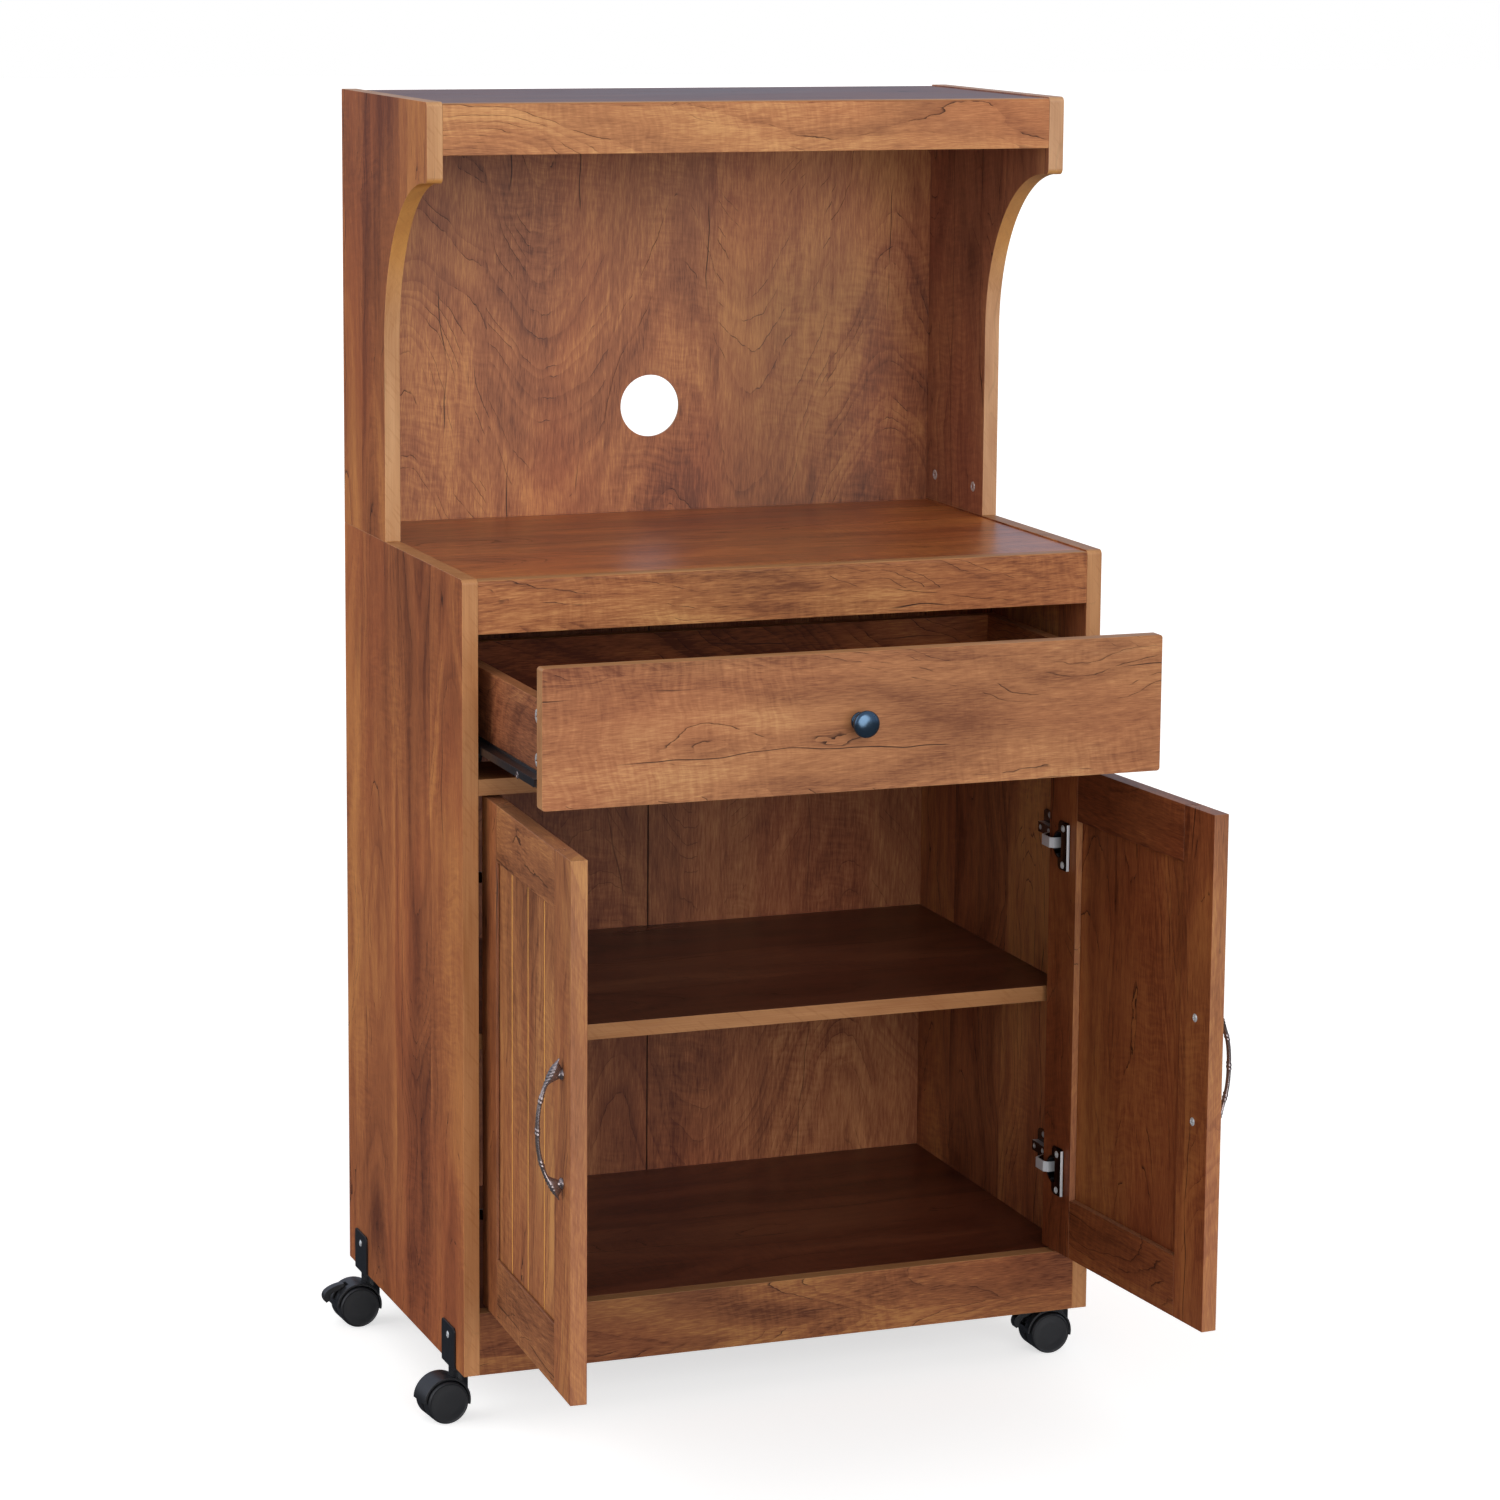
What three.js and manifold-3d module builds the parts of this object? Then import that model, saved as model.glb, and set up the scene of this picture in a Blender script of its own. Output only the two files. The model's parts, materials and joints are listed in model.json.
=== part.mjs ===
// Microwave cart: a low cabinet on four swivel casters, with a drawer over two doors,
// and an open hutch standing on its counter.
// Millimetres, +Z up, the front faces -Y. The doors stand open and the drawer is part way out.

import * as THREE from "three";
import { mergeVertices } from "three/addons/utils/BufferGeometryUtils.js";
import Module from "manifold-3d";

// ---- Cabinet and hutch boards
const cartWidth = 624;
const sideDepth = 389;
const boardThickness = 15;
const backThickness = 3;
const backInset = 1.5; // back panels stop short of the sides' outer faces
const baseHeight = 736; // lower edge of the sides up to the hutch
const hutchHeight = 416;
const topSink = 1.5; // counter and hutch top lie this far below the sides' upper ends
const noseRadius = 5; // rounded upper front corner of a side
const railNose = 3; // rounded upper front edge of a top rail

const plinthHeight = 59;
const apronHeight = 50;
const drawerBayHeight = 131;
const dividerDepth = 80;
const shelfClearHeight = 239.5; // bottom panel up to the shelf's underside
const shelfSetback = 29;

const hutchTopDepth = 285; // front edge of the hutch top to the back of the sides
const hutchFootDepth = 143; // the narrow foot that stands on the counter
const hutchRailHeight = 48;
const hutchBrowHeight = 73; // straight front edge above the sweep
const sweepHeight = 157;
const browRadius = 6;
const cableHoleDiameter = 61;
const cableHoleHeight = 103; // counter up to the hole's centre

const foldGrooveWidth = 1.2;
const foldGrooveDepth = 0.8;

// ---- Doors
const doorGap = 2; // beside and between the doors
const doorEndGap = 2.5; // above and below the doors
const stileWidth = 51;
const topRailHeight = 52;
const bottomRailHeight = 57;
const panelThickness = 5;
const panelSetback = 3; // panel face behind the frame face
const panelTongue = 7; // how far the panel and the rails' tongues enter the frame
const grooveClearance = 0.3;
const plankWidth = 53.4;
const plankGroove = 1.6;
const leftDoorOpen = 92.5; // degrees
const rightDoorOpen = 95;

// ---- Concealed hinges
const hingeInset = 80; // hinge centre from the door's end
const hingeThrow = 13; // swing axis from the door's hinge edge
const pivotX = boardThickness + doorGap + hingeThrow; // swing axis from the cart's outer side
const pivotY = 6.5; // swing axis behind the door's face
const cupRadius = 13;
const cupFloor = 4; // wood left in front of the cup
const cupDepth = boardThickness - cupFloor;
const cupEdgeDistance = 22; // cup centre from the door's hinge edge
const cupWall = 0.8;
const cupClearance = 0.3;
const hingeSeatGap = 0.2; // flange off the door's inner face
const flangeHeight = 47;
const flangeWidth = 21;
const flangeOffset = 7; // screw line beyond the cup's centre
const flangeThickness = 1.2;
const armWidth = 10;
const armThickness = 1.6;
const armOffset = 5; // door's inner face to the arm's forward leg
const armStandOff = 5; // arm's rear leg above its mounting plate
const armPlateY = 69; // mounting screw from the cart's front
const armPlateLength = 26;
const armPlateHeight = 34;
const armPlateThickness = 2;
const armBend = 3;
const armBarrelRadius = 1.5;

// ---- Bow pulls and the drawer knob
const pullHoles = 96;
const pullEdgeDistance = 25; // from the door's free edge
const pullOverhang = 14; // leaf end beyond the foot
const pullRise = 25; // door face to the crown of the bow
const pullFootHeight = 9;
const pullFootRadius = 4;
const knobRadius = 11.5;
const knobBaseRadius = 8;
const knobNeckRadius = 5;
const knobReach = 21;

// ---- Drawer
const drawerPull = 172; // how far the drawer stands out
const drawerSideGap = 4;
const drawerTopGap = 2.5;
const drawerBottomGap = 4;
const frontEdgeRadius = 3;
const drawerSideThickness = 12;
const drawerSideHeight = 77;
const runnerSpace = 13; // side panel to the drawer's side
const drawerBoxWidth = cartWidth - 2 * (boardThickness + runnerSpace);
const drawerRearSpace = 34; // drawer's back to the cabinet's back
const drawerBoxDepth = sideDepth - drawerRearSpace - boardThickness;
const drawerBottomThickness = 3;
const drawerBottomLift = 8;
const drawerGrooveDepth = 5;

// ---- Bottom-mount roller runners
const runnerSheet = 1.2;
const runnerHeight = 30; // cabinet channel
const runnerLift = 2.5; // cabinet channel above the divider
const runnerSetback = boardThickness + 2; // from the cart's front
const trackDrop = 4; // drawer channel's track below the cabinet channel's top
const trackRise = 10.5; // drawer channel's track above the underside of the drawer's sides
const drawerBoxLift = runnerLift + runnerHeight - trackDrop - trackRise;
const runnerFlange = 11.5;
const rollerRadius = 9;
const rollerWidth = 7;
const rollerClearance = 0.3;
const runnerPlay = 0.5; // sideways, between the two channels and the roller
const frontRollerY = runnerSetback + rollerRadius + 2;
const rearRollerInset = 8;
const rollerPinRadius = 2;
const trackLip = 6;
const lipSheet = 0.7;
const runnerFoot = 14; // drawer channel's leg up the drawer's side
const runnerSole = 10; // drawer channel's leg under the drawer's side

// ---- Casters
const wheelRadius = 20;
const wheelWidth = 13.5;
const wheelGap = 6; // between the twin wheels
const axleRadius = 2.5;
const casterTrail = 16; // stem axis to axle
const bracketOverWheel = 11;
const casterLift = 2 * wheelRadius + bracketOverWheel; // floor up to the bracket's horizontal leg
const bracketSheet = 2;
const bracketWidth = 40;
const bracketHeight = 38; // leg up the side panel
const bracketLeg = 24; // leg under the side panel
const stemInset = boardThickness / 2 + 0.5; // stem axis from the cart's outer side
const stemRadius = 3.8;
const stemHeadRadius = 5.2;
const stemHeadHeight = 2.5;
const casterFrontY = 45;
const casterBackY = sideDepth - 47;
const wheelClearance = 1; // wheel to hood
const hoodWall = 2.2;
const hoodRadius = wheelRadius + wheelClearance + hoodWall;
const axleBossWall = 3.5;
const wheelShow = 3; // how far each wheel stands out of the hood
const hoodWidth = 2 * (wheelWidth - wheelShow) + wheelGap;
const hoodFrontAngle = -12; // degrees, the tip on the stem's side
const hoodBackAngle = 178;
const webThickness = wheelGap - 1.6;
const collarRadius = 9;
const leverWidth = 9;
const leverPivotAngle = 125; // around the axle, degrees
const leverPinRadius = 1.2;
const swivelAngles = { front_left: 6, rear_left: 3, front_right: 1, rear_right: -4 };
const brakedCasters = ["rear_left", "front_right"];

// ---- Derived levels
const baseBottom = casterLift + bracketSheet;
const counterLevel = baseBottom + baseHeight;
const topLevel = counterLevel + hutchHeight;
const plinthTop = baseBottom + plinthHeight;
const apronBottom = counterLevel - apronHeight;
const dividerTop = apronBottom - drawerBayHeight;
const dividerBottom = dividerTop - boardThickness;
const innerLeft = boardThickness;
const innerRight = cartWidth - boardThickness;
const backPlane = sideDepth;
const shelfBottom = plinthTop + shelfClearHeight;
const hutchFrontY = sideDepth - hutchTopDepth;
const hutchFootY = sideDepth - hutchFootDepth;

const doorWidth = (innerRight - innerLeft - 3 * doorGap) / 2;
const doorBottom = plinthTop + doorEndGap;
const doorHeight = dividerBottom - doorEndGap - doorBottom;

// ---- Finishes
function finish(color, roughness, metalness = 0) {
  return new THREE.MeshStandardMaterial({ color, roughness, metalness });
}
const wood = finish(0x8a5230, 0.42);
const woodInside = finish(0x542c1b, 0.55);
const woodBack = finish(0x6b3c24, 0.6);
const blackSteel = finish(0x16171a, 0.45, 0.4);
const blackPlastic = finish(0x1c1d1f, 0.55);
const nickel = finish(0xb9bbbd, 0.28, 0.95);
const pewter = finish(0x6f6560, 0.4, 0.85);
const gunmetal = finish(0x4a5058, 0.3, 0.8);

// ---- Solids
const wasm = await Module();
wasm.setup();

const radians = THREE.MathUtils.degToRad;

// A closed geometry as a solid that can be joined and cut.
function solid(geometry) {
  const bare = geometry.clone();
  bare.deleteAttribute("normal");
  bare.deleteAttribute("uv");
  const merged = mergeVertices(bare, 1e-4);
  return new wasm.Manifold(
    new wasm.Mesh({
      numProp: 3,
      vertProperties: merged.attributes.position.array,
      triVerts: new Uint32Array(merged.index.array),
    }),
  );
}

function geometryOf(body) {
  const { numProp, vertProperties, triVerts } = body.getMesh();
  const geometry = new THREE.BufferGeometry();
  const positions = new THREE.InterleavedBuffer(vertProperties, numProp);
  geometry.setAttribute("position", new THREE.InterleavedBufferAttribute(positions, 3, 0));
  geometry.setIndex(new THREE.BufferAttribute(triVerts, 1));
  const flat = geometry.toNonIndexed();
  flat.computeVertexNormals();
  return flat;
}

function join(first, ...others) {
  return geometryOf(others.reduce((body, next) => body.add(solid(next)), solid(first)));
}

function cut(first, ...tools) {
  return geometryOf(tools.reduce((body, tool) => body.subtract(solid(tool)), solid(first)));
}

// A box between two corners.
function block(x0, x1, y0, y1, z0, z1) {
  const box = new THREE.BoxGeometry(x1 - x0, y1 - y0, z1 - z0);
  return box.translate((x0 + x1) / 2, (y0 + y1) / 2, (z0 + z1) / 2);
}

// Extrusions: an outline drawn in the two axes across the named one.
const alongX = new THREE.Matrix4().set(0, 0, 1, 0, 1, 0, 0, 0, 0, 1, 0, 0, 0, 0, 0, 1);
const alongY = new THREE.Matrix4().set(1, 0, 0, 0, 0, 0, -1, 0, 0, 1, 0, 0, 0, 0, 0, 1);

function extrude(outline, depth, curveSegments = 8) {
  return new THREE.ExtrudeGeometry(outline, { depth, bevelEnabled: false, curveSegments });
}

function extrudeX(outlineYZ, x0, x1, curveSegments) {
  return extrude(outlineYZ, x1 - x0, curveSegments).applyMatrix4(alongX).translate(x0, 0, 0);
}

function extrudeY(outlineXZ, y0, y1, curveSegments) {
  return extrude(outlineXZ, y1 - y0, curveSegments).applyMatrix4(alongY).translate(0, y1, 0);
}

function extrudeZ(outlineXY, z0, z1, curveSegments) {
  return extrude(outlineXY, z1 - z0, curveSegments).translate(0, 0, z0);
}

function polygon(points) {
  return new THREE.Shape(points.map(([a, b]) => new THREE.Vector2(a, b)));
}

// A rectangle with rounded corners.
function roundedRectangle(a0, a1, b0, b1, radius) {
  const outline = new THREE.Shape();
  outline.moveTo(a0 + radius, b0);
  outline.lineTo(a1 - radius, b0);
  outline.absarc(a1 - radius, b0 + radius, radius, -Math.PI / 2, 0);
  outline.lineTo(a1, b1 - radius);
  outline.absarc(a1 - radius, b1 - radius, radius, 0, Math.PI / 2);
  outline.lineTo(a0 + radius, b1);
  outline.absarc(a0 + radius, b1 - radius, radius, Math.PI / 2, Math.PI);
  outline.lineTo(a0, b0 + radius);
  outline.absarc(a0 + radius, b0 + radius, radius, Math.PI, 1.5 * Math.PI);
  return outline;
}

function cylinder(radius, length, segments = 20) {
  return new THREE.CylinderGeometry(radius, radius, length, segments);
}

function rodX(radius, x0, x1, y, z, segments) {
  return cylinder(radius, x1 - x0, segments).rotateZ(Math.PI / 2).translate((x0 + x1) / 2, y, z);
}

function rodY(radius, x, y0, y1, z, segments) {
  return cylinder(radius, y1 - y0, segments).translate(x, (y0 + y1) / 2, z);
}

function rodZ(radius, x, y, z0, z1, segments) {
  return cylinder(radius, z1 - z0, segments).rotateX(Math.PI / 2).translate(x, y, (z0 + z1) / 2);
}

function lathe(profile, segments = 32) {
  return new THREE.LatheGeometry(profile.map(([r, h]) => new THREE.Vector2(r, h)), segments);
}

// A closed skin over a row of rings that all have the same number of points.
function loft(rings) {
  const count = rings[0].length;
  const points = rings.flat();
  const centre = (ring) =>
    ring.reduce((sum, p) => sum.add(p), new THREE.Vector3()).divideScalar(count);
  const start = points.push(centre(rings[0])) - 1;
  const end = points.push(centre(rings.at(-1))) - 1;
  const index = [];
  for (let i = 0; i < count; i++) {
    const j = (i + 1) % count;
    const lastRing = (rings.length - 1) * count;
    index.push(start, j, i, end, lastRing + i, lastRing + j);
    for (let r = 0; r < rings.length - 1; r++) {
      const a = r * count;
      index.push(a + i, a + j, a + count + j, a + i, a + count + j, a + count + i);
    }
  }
  return new THREE.BufferGeometry().setFromPoints(points).setIndex(index);
}

// ---- Scene helpers
const cart = new THREE.Group();

function add(parent, name, geometry, material) {
  const mesh = new THREE.Mesh(geometry, material);
  mesh.name = name;
  parent.add(mesh);
  return mesh;
}

function group(parent, x = 0, y = 0, z = 0) {
  const made = new THREE.Group();
  made.position.set(x, y, z);
  parent.add(made);
  return made;
}

// The frame in which a piece is built for the left side: on the right it is mirrored.
function sideFrame(side) {
  const frame = group(cart, side === "left" ? 0 : cartWidth);
  frame.scale.x = side === "left" ? 1 : -1;
  return frame;
}

const sides = ["left", "right"];

// ---- Cabinet boards
function baseSide() {
  const outline = new THREE.Shape();
  outline.moveTo(0, baseBottom);
  outline.lineTo(sideDepth, baseBottom);
  outline.lineTo(sideDepth, counterLevel);
  outline.lineTo(noseRadius, counterLevel);
  outline.absarc(noseRadius, counterLevel - noseRadius, noseRadius, Math.PI / 2, Math.PI);
  const board = extrudeX(outline, 0, boardThickness);
  const boreTop = baseBottom + stemHeadHeight + 2 * grooveClearance;
  const bores = [casterFrontY, casterBackY].map((y) =>
    rodZ(stemHeadRadius + grooveClearance, stemInset, y, baseBottom - 1, boreTop),
  );
  return cut(board, ...bores);
}

// A rail across the front whose upper front edge is rounded.
function noseRail(y, bottom, top) {
  const outline = new THREE.Shape();
  outline.moveTo(y, bottom);
  outline.lineTo(y + boardThickness, bottom);
  outline.lineTo(y + boardThickness, top);
  outline.lineTo(y + railNose, top);
  outline.absarc(y + railNose, top - railNose, railNose, Math.PI / 2, Math.PI);
  return extrudeX(outline, innerLeft, innerRight);
}

function innerBoard(y0, y1, z0, z1) {
  return block(innerLeft, innerRight, y0, y1, z0, z1);
}

function baseBack() {
  const left = backInset;
  const right = cartWidth - backInset;
  const middle = cartWidth / 2;
  const half = foldGrooveWidth / 2;
  const outline = polygon([
    [left, backPlane],
    [middle - half, backPlane],
    [middle, backPlane + foldGrooveDepth],
    [middle + half, backPlane],
    [right, backPlane],
    [right, backPlane + backThickness],
    [left, backPlane + backThickness],
  ]);
  return extrudeZ(outline, baseBottom + backInset, counterTop);
}

const counterTop = counterLevel - topSink;
for (const side of sides) {
  add(sideFrame(side), "base_side_" + side, baseSide(), wood);
}
const counterBoard = innerBoard(boardThickness, backPlane, counterTop - boardThickness, counterTop);
add(cart, "countertop", counterBoard, wood);
add(cart, "counter_rail", noseRail(0, apronBottom, counterTop), wood);
add(cart, "drawer_divider", innerBoard(0, dividerDepth, dividerBottom, dividerTop), wood);
add(cart, "plinth_rail", innerBoard(0, boardThickness, baseBottom, plinthTop), wood);
const floorBoard = innerBoard(boardThickness, backPlane, plinthTop - boardThickness, plinthTop);
add(cart, "bottom_panel", floorBoard, woodInside);
const shelfBoard = innerBoard(shelfSetback, backPlane, shelfBottom, shelfBottom + boardThickness);
add(cart, "shelf", shelfBoard, woodInside);
add(cart, "base_back", baseBack(), woodBack);

// ---- Hutch
function hutchSide() {
  const browBottom = topLevel - hutchBrowHeight;
  const sweepFoot = browBottom - sweepHeight;
  const sweepDepth = hutchFootY - hutchFrontY;
  const outline = new THREE.Shape();
  outline.moveTo(hutchFootY, counterLevel);
  outline.lineTo(sideDepth, counterLevel);
  outline.lineTo(sideDepth, topLevel);
  outline.lineTo(hutchFrontY + noseRadius, topLevel);
  outline.absarc(hutchFrontY + noseRadius, topLevel - noseRadius, noseRadius, Math.PI / 2, Math.PI);
  outline.lineTo(hutchFrontY, browBottom + browRadius);
  outline.absarc(
    hutchFrontY + browRadius, browBottom + browRadius, browRadius, Math.PI, 1.5 * Math.PI);
  outline.absellipse(
    hutchFrontY + browRadius, sweepFoot, sweepDepth - browRadius, sweepHeight, Math.PI / 2, 0, true);
  outline.lineTo(hutchFootY, counterLevel);
  return extrudeX(outline, 0, boardThickness, 16);
}

function hutchBack() {
  const outline = polygon([
    [backInset, counterTop],
    [cartWidth - backInset, counterTop],
    [cartWidth - backInset, topLevel - backInset],
    [backInset, topLevel - backInset],
  ]);
  const hole = new THREE.Path();
  hole.absarc(cartWidth / 2, counterLevel + cableHoleHeight, cableHoleDiameter / 2, 0, 2 * Math.PI, true);
  outline.holes.push(hole);
  return extrudeY(outline, backPlane, backPlane + backThickness, 36);
}

for (const side of sides) {
  add(sideFrame(side), "hutch_side_" + side, hutchSide(), wood);
}
const hutchTop = topLevel - topSink;
const hutchTopFront = hutchFrontY + boardThickness;
add(cart, "hutch_top", innerBoard(hutchTopFront, backPlane, hutchTop - boardThickness, hutchTop), wood);
add(cart, "hutch_top_rail", noseRail(hutchFrontY, topLevel - hutchRailHeight, hutchTop), wood);
add(cart, "hutch_back", hutchBack(), woodBack);

// ---- Doors, built closed and hung on the swing axis at the group's origin
const hingeEdge = boardThickness + doorGap - pivotX;
const freeEdge = hingeEdge + doorWidth;
const doorFace = -pivotY;
const doorRear = boardThickness - pivotY;
const panelFront = doorFace + panelSetback;
const panelRear = panelFront + panelThickness;
const hingeCentres = [hingeInset, doorHeight - hingeInset];

// A stile with the panel's groove in its inner edge, which is at x = inner.
function stile(outer, inner) {
  const into = Math.sign(outer - inner);
  const grooveEnd = inner + into * (panelTongue + grooveClearance);
  const outline = polygon([
    [outer, doorFace],
    [inner, doorFace],
    [inner, panelFront - grooveClearance],
    [grooveEnd, panelFront - grooveClearance],
    [grooveEnd, panelRear + grooveClearance],
    [inner, panelRear + grooveClearance],
    [inner, doorRear],
    [outer, doorRear],
  ]);
  return extrudeZ(outline, 0, doorHeight);
}

// The stile that carries the hinges has a blind bore for each cup.
function hingeStile() {
  const centre = hingeEdge + cupEdgeDistance;
  const bores = hingeCentres.map((z) =>
    rodY(cupRadius + cupClearance, centre, doorRear - cupDepth - cupClearance, doorRear + 1, z),
  );
  return cut(stile(hingeEdge, hingeEdge + stileWidth), ...bores);
}

// A rail between the stiles, with a tongue at each end and the panel's groove in one edge.
function doorRail(outer, inner) {
  const x0 = hingeEdge + stileWidth + grooveClearance;
  const x1 = freeEdge - stileWidth - grooveClearance;
  const into = Math.sign(outer - inner);
  const grooveEnd = inner + into * (panelTongue + grooveClearance);
  const outline = polygon([
    [doorFace, outer],
    [doorRear, outer],
    [doorRear, inner],
    [panelRear + grooveClearance, inner],
    [panelRear + grooveClearance, grooveEnd],
    [panelFront - grooveClearance, grooveEnd],
    [panelFront - grooveClearance, inner],
    [doorFace, inner],
  ]);
  const bar = extrudeX(outline, x0, x1);
  const low = Math.min(outer, grooveEnd);
  const high = Math.max(outer, grooveEnd);
  const tongue = block(x0 - panelTongue, x1 + panelTongue, panelFront, panelRear, low, high);
  return join(bar, tongue);
}

// The panel, with an upright V groove between its planks.
function doorPanel() {
  const middle = (hingeEdge + freeEdge) / 2;
  const left = hingeEdge + stileWidth - panelTongue;
  const right = freeEdge - stileWidth + panelTongue;
  const points = [[left, panelFront]];
  const half = plankGroove / 2;
  const grooves = Math.floor((right - left) / 2 / plankWidth);
  for (let i = -grooves; i <= grooves; i++) {
    const x = middle + i * plankWidth;
    points.push([x - half, panelFront], [x, panelFront + half], [x + half, panelFront]);
  }
  points.push([right, panelFront], [right, panelRear], [left, panelRear]);
  const bottom = bottomRailHeight - panelTongue;
  const top = doorHeight - topRailHeight + panelTongue;
  return extrudeZ(polygon(points), bottom, top);
}

// ---- Concealed hinges
function hingeCup() {
  const centre = hingeEdge + cupEdgeDistance;
  const seat = doorRear + hingeSeatGap;
  const lid = seat + flangeThickness;
  const screwLine = centre + flangeOffset;
  const plate = roundedRectangle(
    screwLine - flangeWidth / 2, screwLine + flangeWidth / 2, -flangeHeight / 2, flangeHeight / 2, 5);
  const flange = extrudeY(plate, seat, lid, 4);
  const rim = rodY(cupRadius + 1, centre, seat, lid, 0);
  const cup = rodY(cupRadius, centre, doorRear - cupDepth, lid, 0);
  const inside = rodY(cupRadius - cupWall, centre, doorRear - cupDepth + cupWall, lid + 1, 0);
  const body = solid(flange).add(solid(rim)).add(solid(cup)).subtract(solid(inside));
  return geometryOf(body);
}

// The cranked arm runs from its plate on the side panel round the door's end into the cup.
function hingeArm() {
  const half = armThickness / 2;
  const reach = doorRear + armOffset;
  const wall = boardThickness - pivotX + armPlateThickness; // clear face of the mounting plate
  const rearLeg = wall + armStandOff;
  const back = armPlateY + armPlateLength / 2 - pivotY;
  const crank = [
    [0, 0],
    [reach - armBend, 0],
    [reach, armBend],
    [reach, reach + 5.5],
    [rearLeg, reach + 18.5],
    [rearLeg, back],
  ];
  const strip = solid(extrudeZ(band(crank, half), -armWidth / 2, armWidth / 2));
  const barrel = solid(rodZ(armBarrelRadius, 0, 0, -armWidth / 2, armWidth / 2, 16));
  const foot = armPlateY - armPlateLength / 2 - pivotY;
  const spacer = block(wall - 0.5, rearLeg, foot, back, -armWidth / 2, armWidth / 2);
  const face = roundedRectangle(foot, back, -armPlateHeight / 2, armPlateHeight / 2, 4);
  const plate = extrudeX(face, wall - armPlateThickness, wall, 4);
  return geometryOf(strip.add(barrel).add(solid(spacer)).add(solid(plate)));
}

// A strip of constant thickness along an open line of points.
function band(points, half) {
  const line = points.map(([x, y]) => new THREE.Vector2(x, y));
  const edge = (sign) =>
    line.map((p, i) => {
      const before = line[Math.max(i - 1, 0)];
      const after = line[Math.min(i + 1, line.length - 1)];
      const inward = p.clone().sub(before).normalize();
      const outward = after.clone().sub(p).normalize();
      const run = inward.clone().add(outward).normalize();
      const mitre = run.dot(i ? inward : outward);
      return new THREE.Vector2(-run.y, run.x).multiplyScalar((sign * half) / mitre).add(p);
    });
  return new THREE.Shape([...edge(-1), ...edge(1).reverse()]);
}

// ---- Bow pull: leaf ends, a slim bow with three raised bands, and a foot at each screw
function bowPull() {
  const reach = pullHoles / 2 + pullOverhang;
  const steps = 28;
  const sectionPoints = 8;
  const bands = [-0.45, 0, 0.45];
  const rings = [];
  for (let i = 0; i <= steps; i++) {
    const along = -1 + (2 * i) / steps;
    const bow = Math.cos((Math.PI / 2) * Math.abs(along) ** 1.25);
    const height = 3 + (pullRise - 6) * bow;
    const leaf = THREE.MathUtils.smoothstep(Math.abs(along), 0.55, 0.8);
    const taper = 1 - THREE.MathUtils.smoothstep(Math.abs(along), 0.82, 1) * 0.85;
    const raised = bands.some((place) => Math.abs(along - place) < 0.026) ? 0.7 : 0;
    const wide = THREE.MathUtils.lerp(3, 5.2, leaf) * taper + raised;
    const thick = THREE.MathUtils.lerp(2.7, 2.1, leaf) * taper + raised;
    rings.push(
      Array.from({ length: sectionPoints }, (_, k) => {
        const turn = (2 * Math.PI * k) / sectionPoints;
        return new THREE.Vector3(
          wide * Math.cos(turn), doorFace - height + thick * Math.sin(turn), along * reach);
      }),
    );
  }
  const feet = [-1, 1].map((end) =>
    lathe([[0, 0], [pullFootRadius + 1.2, 0], [pullFootRadius, 2.5],
      [pullFootRadius - 1, pullFootHeight], [0, pullFootHeight]], 16)
      .rotateX(Math.PI)
      .translate(0, doorFace, (end * pullHoles) / 2),
  );
  return join(loft(rings), ...feet);
}

function hangDoor(side, openAngle) {
  const frame = sideFrame(side);
  const door = group(frame, pivotX, pivotY, doorBottom);
  door.rotation.z = -radians(openAngle);
  const name = (piece) => "door_" + side + "_" + piece;
  add(door, name("hinge_stile"), hingeStile(), wood);
  add(door, name("lock_stile"), stile(freeEdge, freeEdge - stileWidth), wood);
  add(door, name("bottom_rail"), doorRail(0, bottomRailHeight), wood);
  add(door, name("top_rail"), doorRail(doorHeight, doorHeight - topRailHeight), wood);
  add(door, name("panel"), doorPanel(), wood);
  const pull = add(door, name("pull"), bowPull(), pewter);
  pull.position.set(freeEdge - pullEdgeDistance, 0, doorHeight / 2);
  hingeCentres.forEach((z, i) => {
    const place = side + "_" + ["lower", "upper"][i];
    add(door, "hinge_cup_" + place, hingeCup(), nickel).position.z = z;
    add(frame, "hinge_arm_" + place, hingeArm(), nickel).position.set(pivotX, pivotY, doorBottom + z);
  });
}
hangDoor("left", leftDoorOpen);
hangDoor("right", rightDoorOpen);

// ---- Drawer, built closed
const drawer = group(cart, 0, -drawerPull, 0);
const frontBottom = dividerTop + drawerBottomGap;
const frontTop = apronBottom - drawerTopGap;
const boxLeft = (cartWidth - drawerBoxWidth) / 2;
const boxRight = cartWidth - boxLeft;
const boxBottom = dividerTop + drawerBoxLift;
const boxTop = boxBottom + drawerSideHeight;
const boxFront = boardThickness;
const boxRear = boxFront + drawerBoxDepth;
const rearAxleY = boxRear - rearRollerInset;
const sheetBottom = boxBottom + drawerBottomLift;
const sheetTop = sheetBottom + drawerBottomThickness;

// The room that the bottom sheet's edge takes in the front, the sides and the back.
function bottomSheet(clearance) {
  const into = drawerGrooveDepth - grooveClearance + clearance;
  return block(
    boxLeft + drawerSideThickness - into, boxRight - drawerSideThickness + into,
    boxFront - into, boxRear - drawerSideThickness + into,
    sheetBottom - clearance, sheetTop + clearance);
}

function drawerFront() {
  const outline = roundedRectangle(
    innerLeft + drawerSideGap, innerRight - drawerSideGap, frontBottom, frontTop, frontEdgeRadius);
  return cut(extrudeY(outline, 0, boardThickness, 4), bottomSheet(grooveClearance));
}

function drawerSide() {
  const board = block(boxLeft, boxLeft + drawerSideThickness, boxFront, boxRear, boxBottom, boxTop);
  return cut(board, bottomSheet(grooveClearance));
}

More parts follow.
